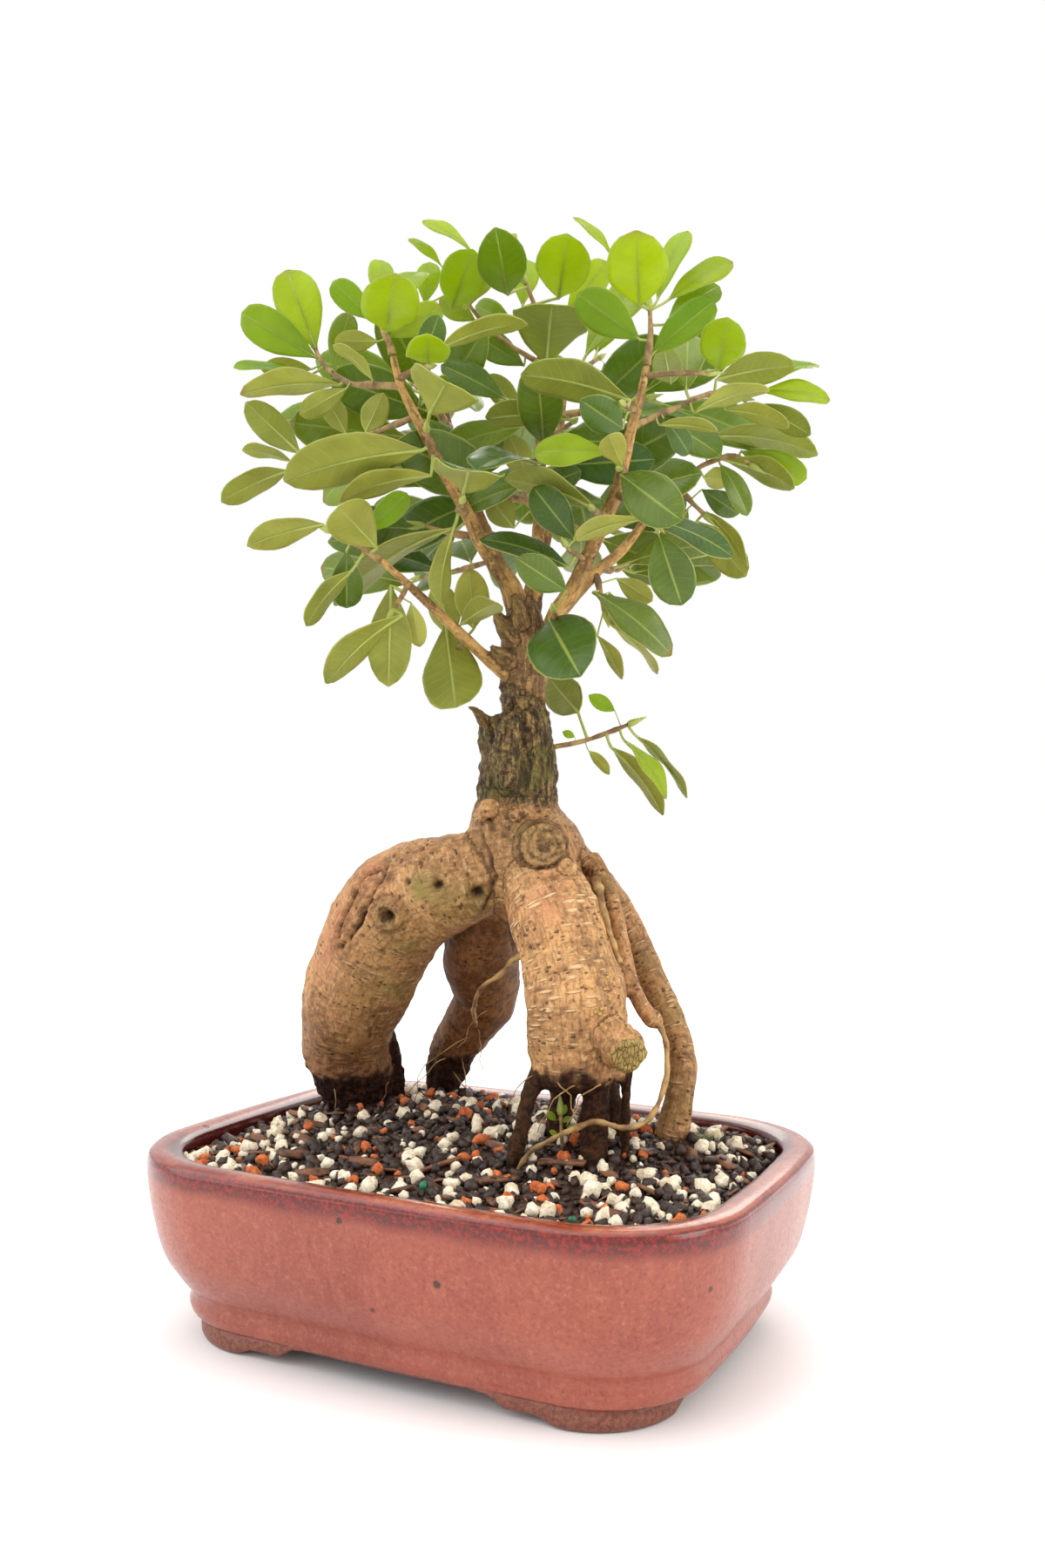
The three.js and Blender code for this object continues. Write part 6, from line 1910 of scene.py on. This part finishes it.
def free_place(taken, size, front):
    """A place on the soil, clear of the roots and of the pieces in taken."""
    for _ in range(PLACE_TRIES):
        x = (2 * soil_draw() - 1) * (POT_LENGTH / 2 - LIP_WIDTH - size)
        y = (2 * soil_draw() - 1) * (POT_DEPTH / 2 - LIP_WIDTH - size)
        corner = (abs(x) / 86) ** 6 + (abs(y) / 65) ** 6
        wanted = 1 - front * (y + 68) / 136
        if corner > 1 or soil_draw() > wanted:
            continue
        spot = Vector((x, y, soil_height(x, y))) * MM
        near = tree_rays.find_nearest(spot)[3]
        clear = all((spot.xy - other.xy).length > (size + reach) * 0.8 * MM
                    for other, reach in taken)
        if clear and near > size * 0.7 * MM:
            return spot
    return None


def lump(subdivisions, roughness, seed):
    """A rough lump: an icosphere pushed about by noise."""
    bm = bmesh.new()
    bmesh.ops.create_icosphere(bm, subdivisions=subdivisions, radius=1)
    for vert in bm.verts:
        vert.co *= 1 + roughness * noise.noise(vert.co * 1.3 + Vector((seed, 0, 0)))
    return bm


def chip(seed):
    """A torn sliver: a cube cut along its length and pinched at its ends."""
    bm = bmesh.new()
    bmesh.ops.create_cube(bm, size=1)
    long_edges = [edge for edge in bm.edges
                  if abs(edge.verts[0].co.x - edge.verts[1].co.x) > 0.5]
    bmesh.ops.subdivide_edges(bm, edges=long_edges, cuts=2, use_grid_fill=True)
    for vert in bm.verts:
        pinch = 1 - 1.1 * abs(vert.co.x) ** 1.4
        torn = 0.25 * noise.noise(vert.co * 3 + Vector((seed, 0, 0)))
        vert.co = Vector((vert.co.x * CHIP_LENGTH,
                          vert.co.y * CHIP_WIDTH * pinch + torn * CHIP_WIDTH,
                          vert.co.z * CHIP_THICK * (0.6 + pinch / 2) + torn * CHIP_THICK))
    return bm


# %% Scatter one kind
def scatter(name, count, shapes, sizes, front, sink, flat, taken):
    """Copies of some shapes laid on the soil as one mesh."""
    whole = bmesh.new()
    tone = whole.verts.layers.float.new("tone")
    meshes = [mesh_of("shape", shape, outward=False) for shape in shapes]
    laid = 0
    for _ in range(count):
        size = sizes[0] + (sizes[1] - sizes[0]) * soil_draw() ** 1.6
        spot = free_place(taken, size, front)
        if spot is None:
            continue
        taken.append((spot, size))
        new = add_mesh(whole, meshes[int(soil_draw() * len(meshes))])
        lean = 1.2 * (soil_draw() - 0.5) if flat < 0.5 else 6 * soil_draw()
        turn = (Matrix.Rotation(soil_draw() * 6.3, 4, "Z")
                @ Matrix.Rotation(lean, 4, "X") @ Matrix.Rotation(lean * 0.6, 4, "Y"))
        stretch = Matrix.Diagonal((size, size * (0.75 + 0.5 * soil_draw()), size * flat, 1))
        up = Vector((0, 0, size * flat * sink * MM))
        move = Matrix.Translation(spot + up) @ turn @ stretch @ Matrix.Scale(MM, 4)
        bmesh.ops.transform(whole, matrix=move, verts=new)
        this_tone = soil_draw()
        for vert in new:
            vert[tone] = this_tone
        laid += 1
    for mesh in meshes:
        bpy.data.meshes.remove(mesh)
    print(laid, name)
    return mesh_of(name, whole)


# %% Lay every kind: how many, shapes, sizes, pull to the front, how far out, how flat; finish
STONES = {
    "green_beads": (
        (3, [lump(2, 0.1, 3)], (1.5, 1.9), 0.8, 0.5, 0.8),
        ((6, 70, 52), (20, 120, 84), 0.35, 500, 0.1)),
    "pumice": (
        (310, [lump(2, 0.55, seed) for seed in range(8)], (1.0, 3.3), 0.6, 0.32, 0.85),
        ((198, 174, 132), (252, 242, 220), 0.8, 420, 0.5, 0.5)),
    "burnt_clay": (
        (95, [lump(2, 0.55, seed) for seed in range(20, 24)], (1.0, 2.7), 0.8, 0.3, 0.8),
        ((150, 62, 24), (222, 120, 58), 0.8, 520, 0.5, 0.3)),
}
LITTER = {
    "bark_chips": (
        (190, [chip(seed) for seed in range(5)], (3.2, 9), 0.2, 0.2, 0.45),
        ((46, 26, 16), (138, 88, 54), 0.55, 300, 0.5)),
    "peat_crumbs": (
        (1700, [lump(1, 0.95, seed) for seed in range(40, 48)], (0.6, 2.7), 0.1, -0.05, 0.8),
        ((12, 7, 5), (62, 37, 22), 0.45, 420, 0.6)),
}
stone_places = []
for name, (how, look) in {**STONES, **LITTER}.items():
    taken = stone_places if name in STONES else []
    finished(name, scatter(name, *how, taken), [loose_finish(name, *look)])

# %% [markdown]
# ## A tuft of moss, and the nets under the soil
#
# Moss grows by the rim at the right: a cushion of tiny pointed leaves. The plastic nets
# over the drain holes keep their solid shape and get a moulded black finish.

# %% Moss: pixel across, pixel down and radius of each cushion
MOSS_SPOTS = [(812, 1308, 5), (822, 1303, 3.4), (802, 1312, 2.8)]
MOSS_LEAVES = 70
moss_draw = repeatable(5)
tufts = []
for px, py, radius in MOSS_SPOTS:
    middle = behind(bed_rays, px, py)
    for _ in range(MOSS_LEAVES):
        angle, reach = moss_draw() * 6.3, radius * math.sqrt(moss_draw())
        foot = middle + Vector((math.cos(angle) * reach, math.sin(angle) * reach * 0.7, 0)) * MM
        tuft = bmesh.new()
        bmesh.ops.create_cone(tuft, segments=4, radius1=0.28 * MM, radius2=0.05 * MM,
                              depth=(1.6 + 1.4 * moss_draw()) * MM, cap_ends=True)
        move = Matrix.Translation(foot + Vector((0, 0, 0.9 * MM)))
        for axis in "XY":
            move = move @ Matrix.Rotation(0.7 * (moss_draw() - 0.5), 4, axis)
        bmesh.ops.transform(tuft, matrix=move, verts=tuft.verts)
        tufts.append(tuft)
moss_finish = loose_finish("moss", (40, 66, 16), (104, 132, 40), 0.8, 600, 0.2, tone=False)
finished("moss", mesh_of("moss", joined(tufts)), [moss_finish])


# %% Nets
def net_finish():
    net = Finish("black_plastic", 0.45)
    tone = net.noise(net.here, 300, 3)
    net.colour = net.blend(net.band(tone, 0.35, 0.65), (24, 24, 24), (44, 43, 42))
    net.press(tone, 0.1, 0.4)
    return net.done()


for name in ("drain_net_left", "drain_net_right"):
    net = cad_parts[name]
    net.data.materials.clear()
    net.data.materials.append(net_finish())
print("nets finished")

# %% [markdown]
# ## The size of the solids
#
# The box round the solid parts is printed, in millimetres. The looks may not make the
# plant any bigger than its solids.

# %% Print the box of the solids
bpy.context.view_layer.update()
print("solid", [round(v / MM, 1) for v in (*solid_low, *solid_high)])
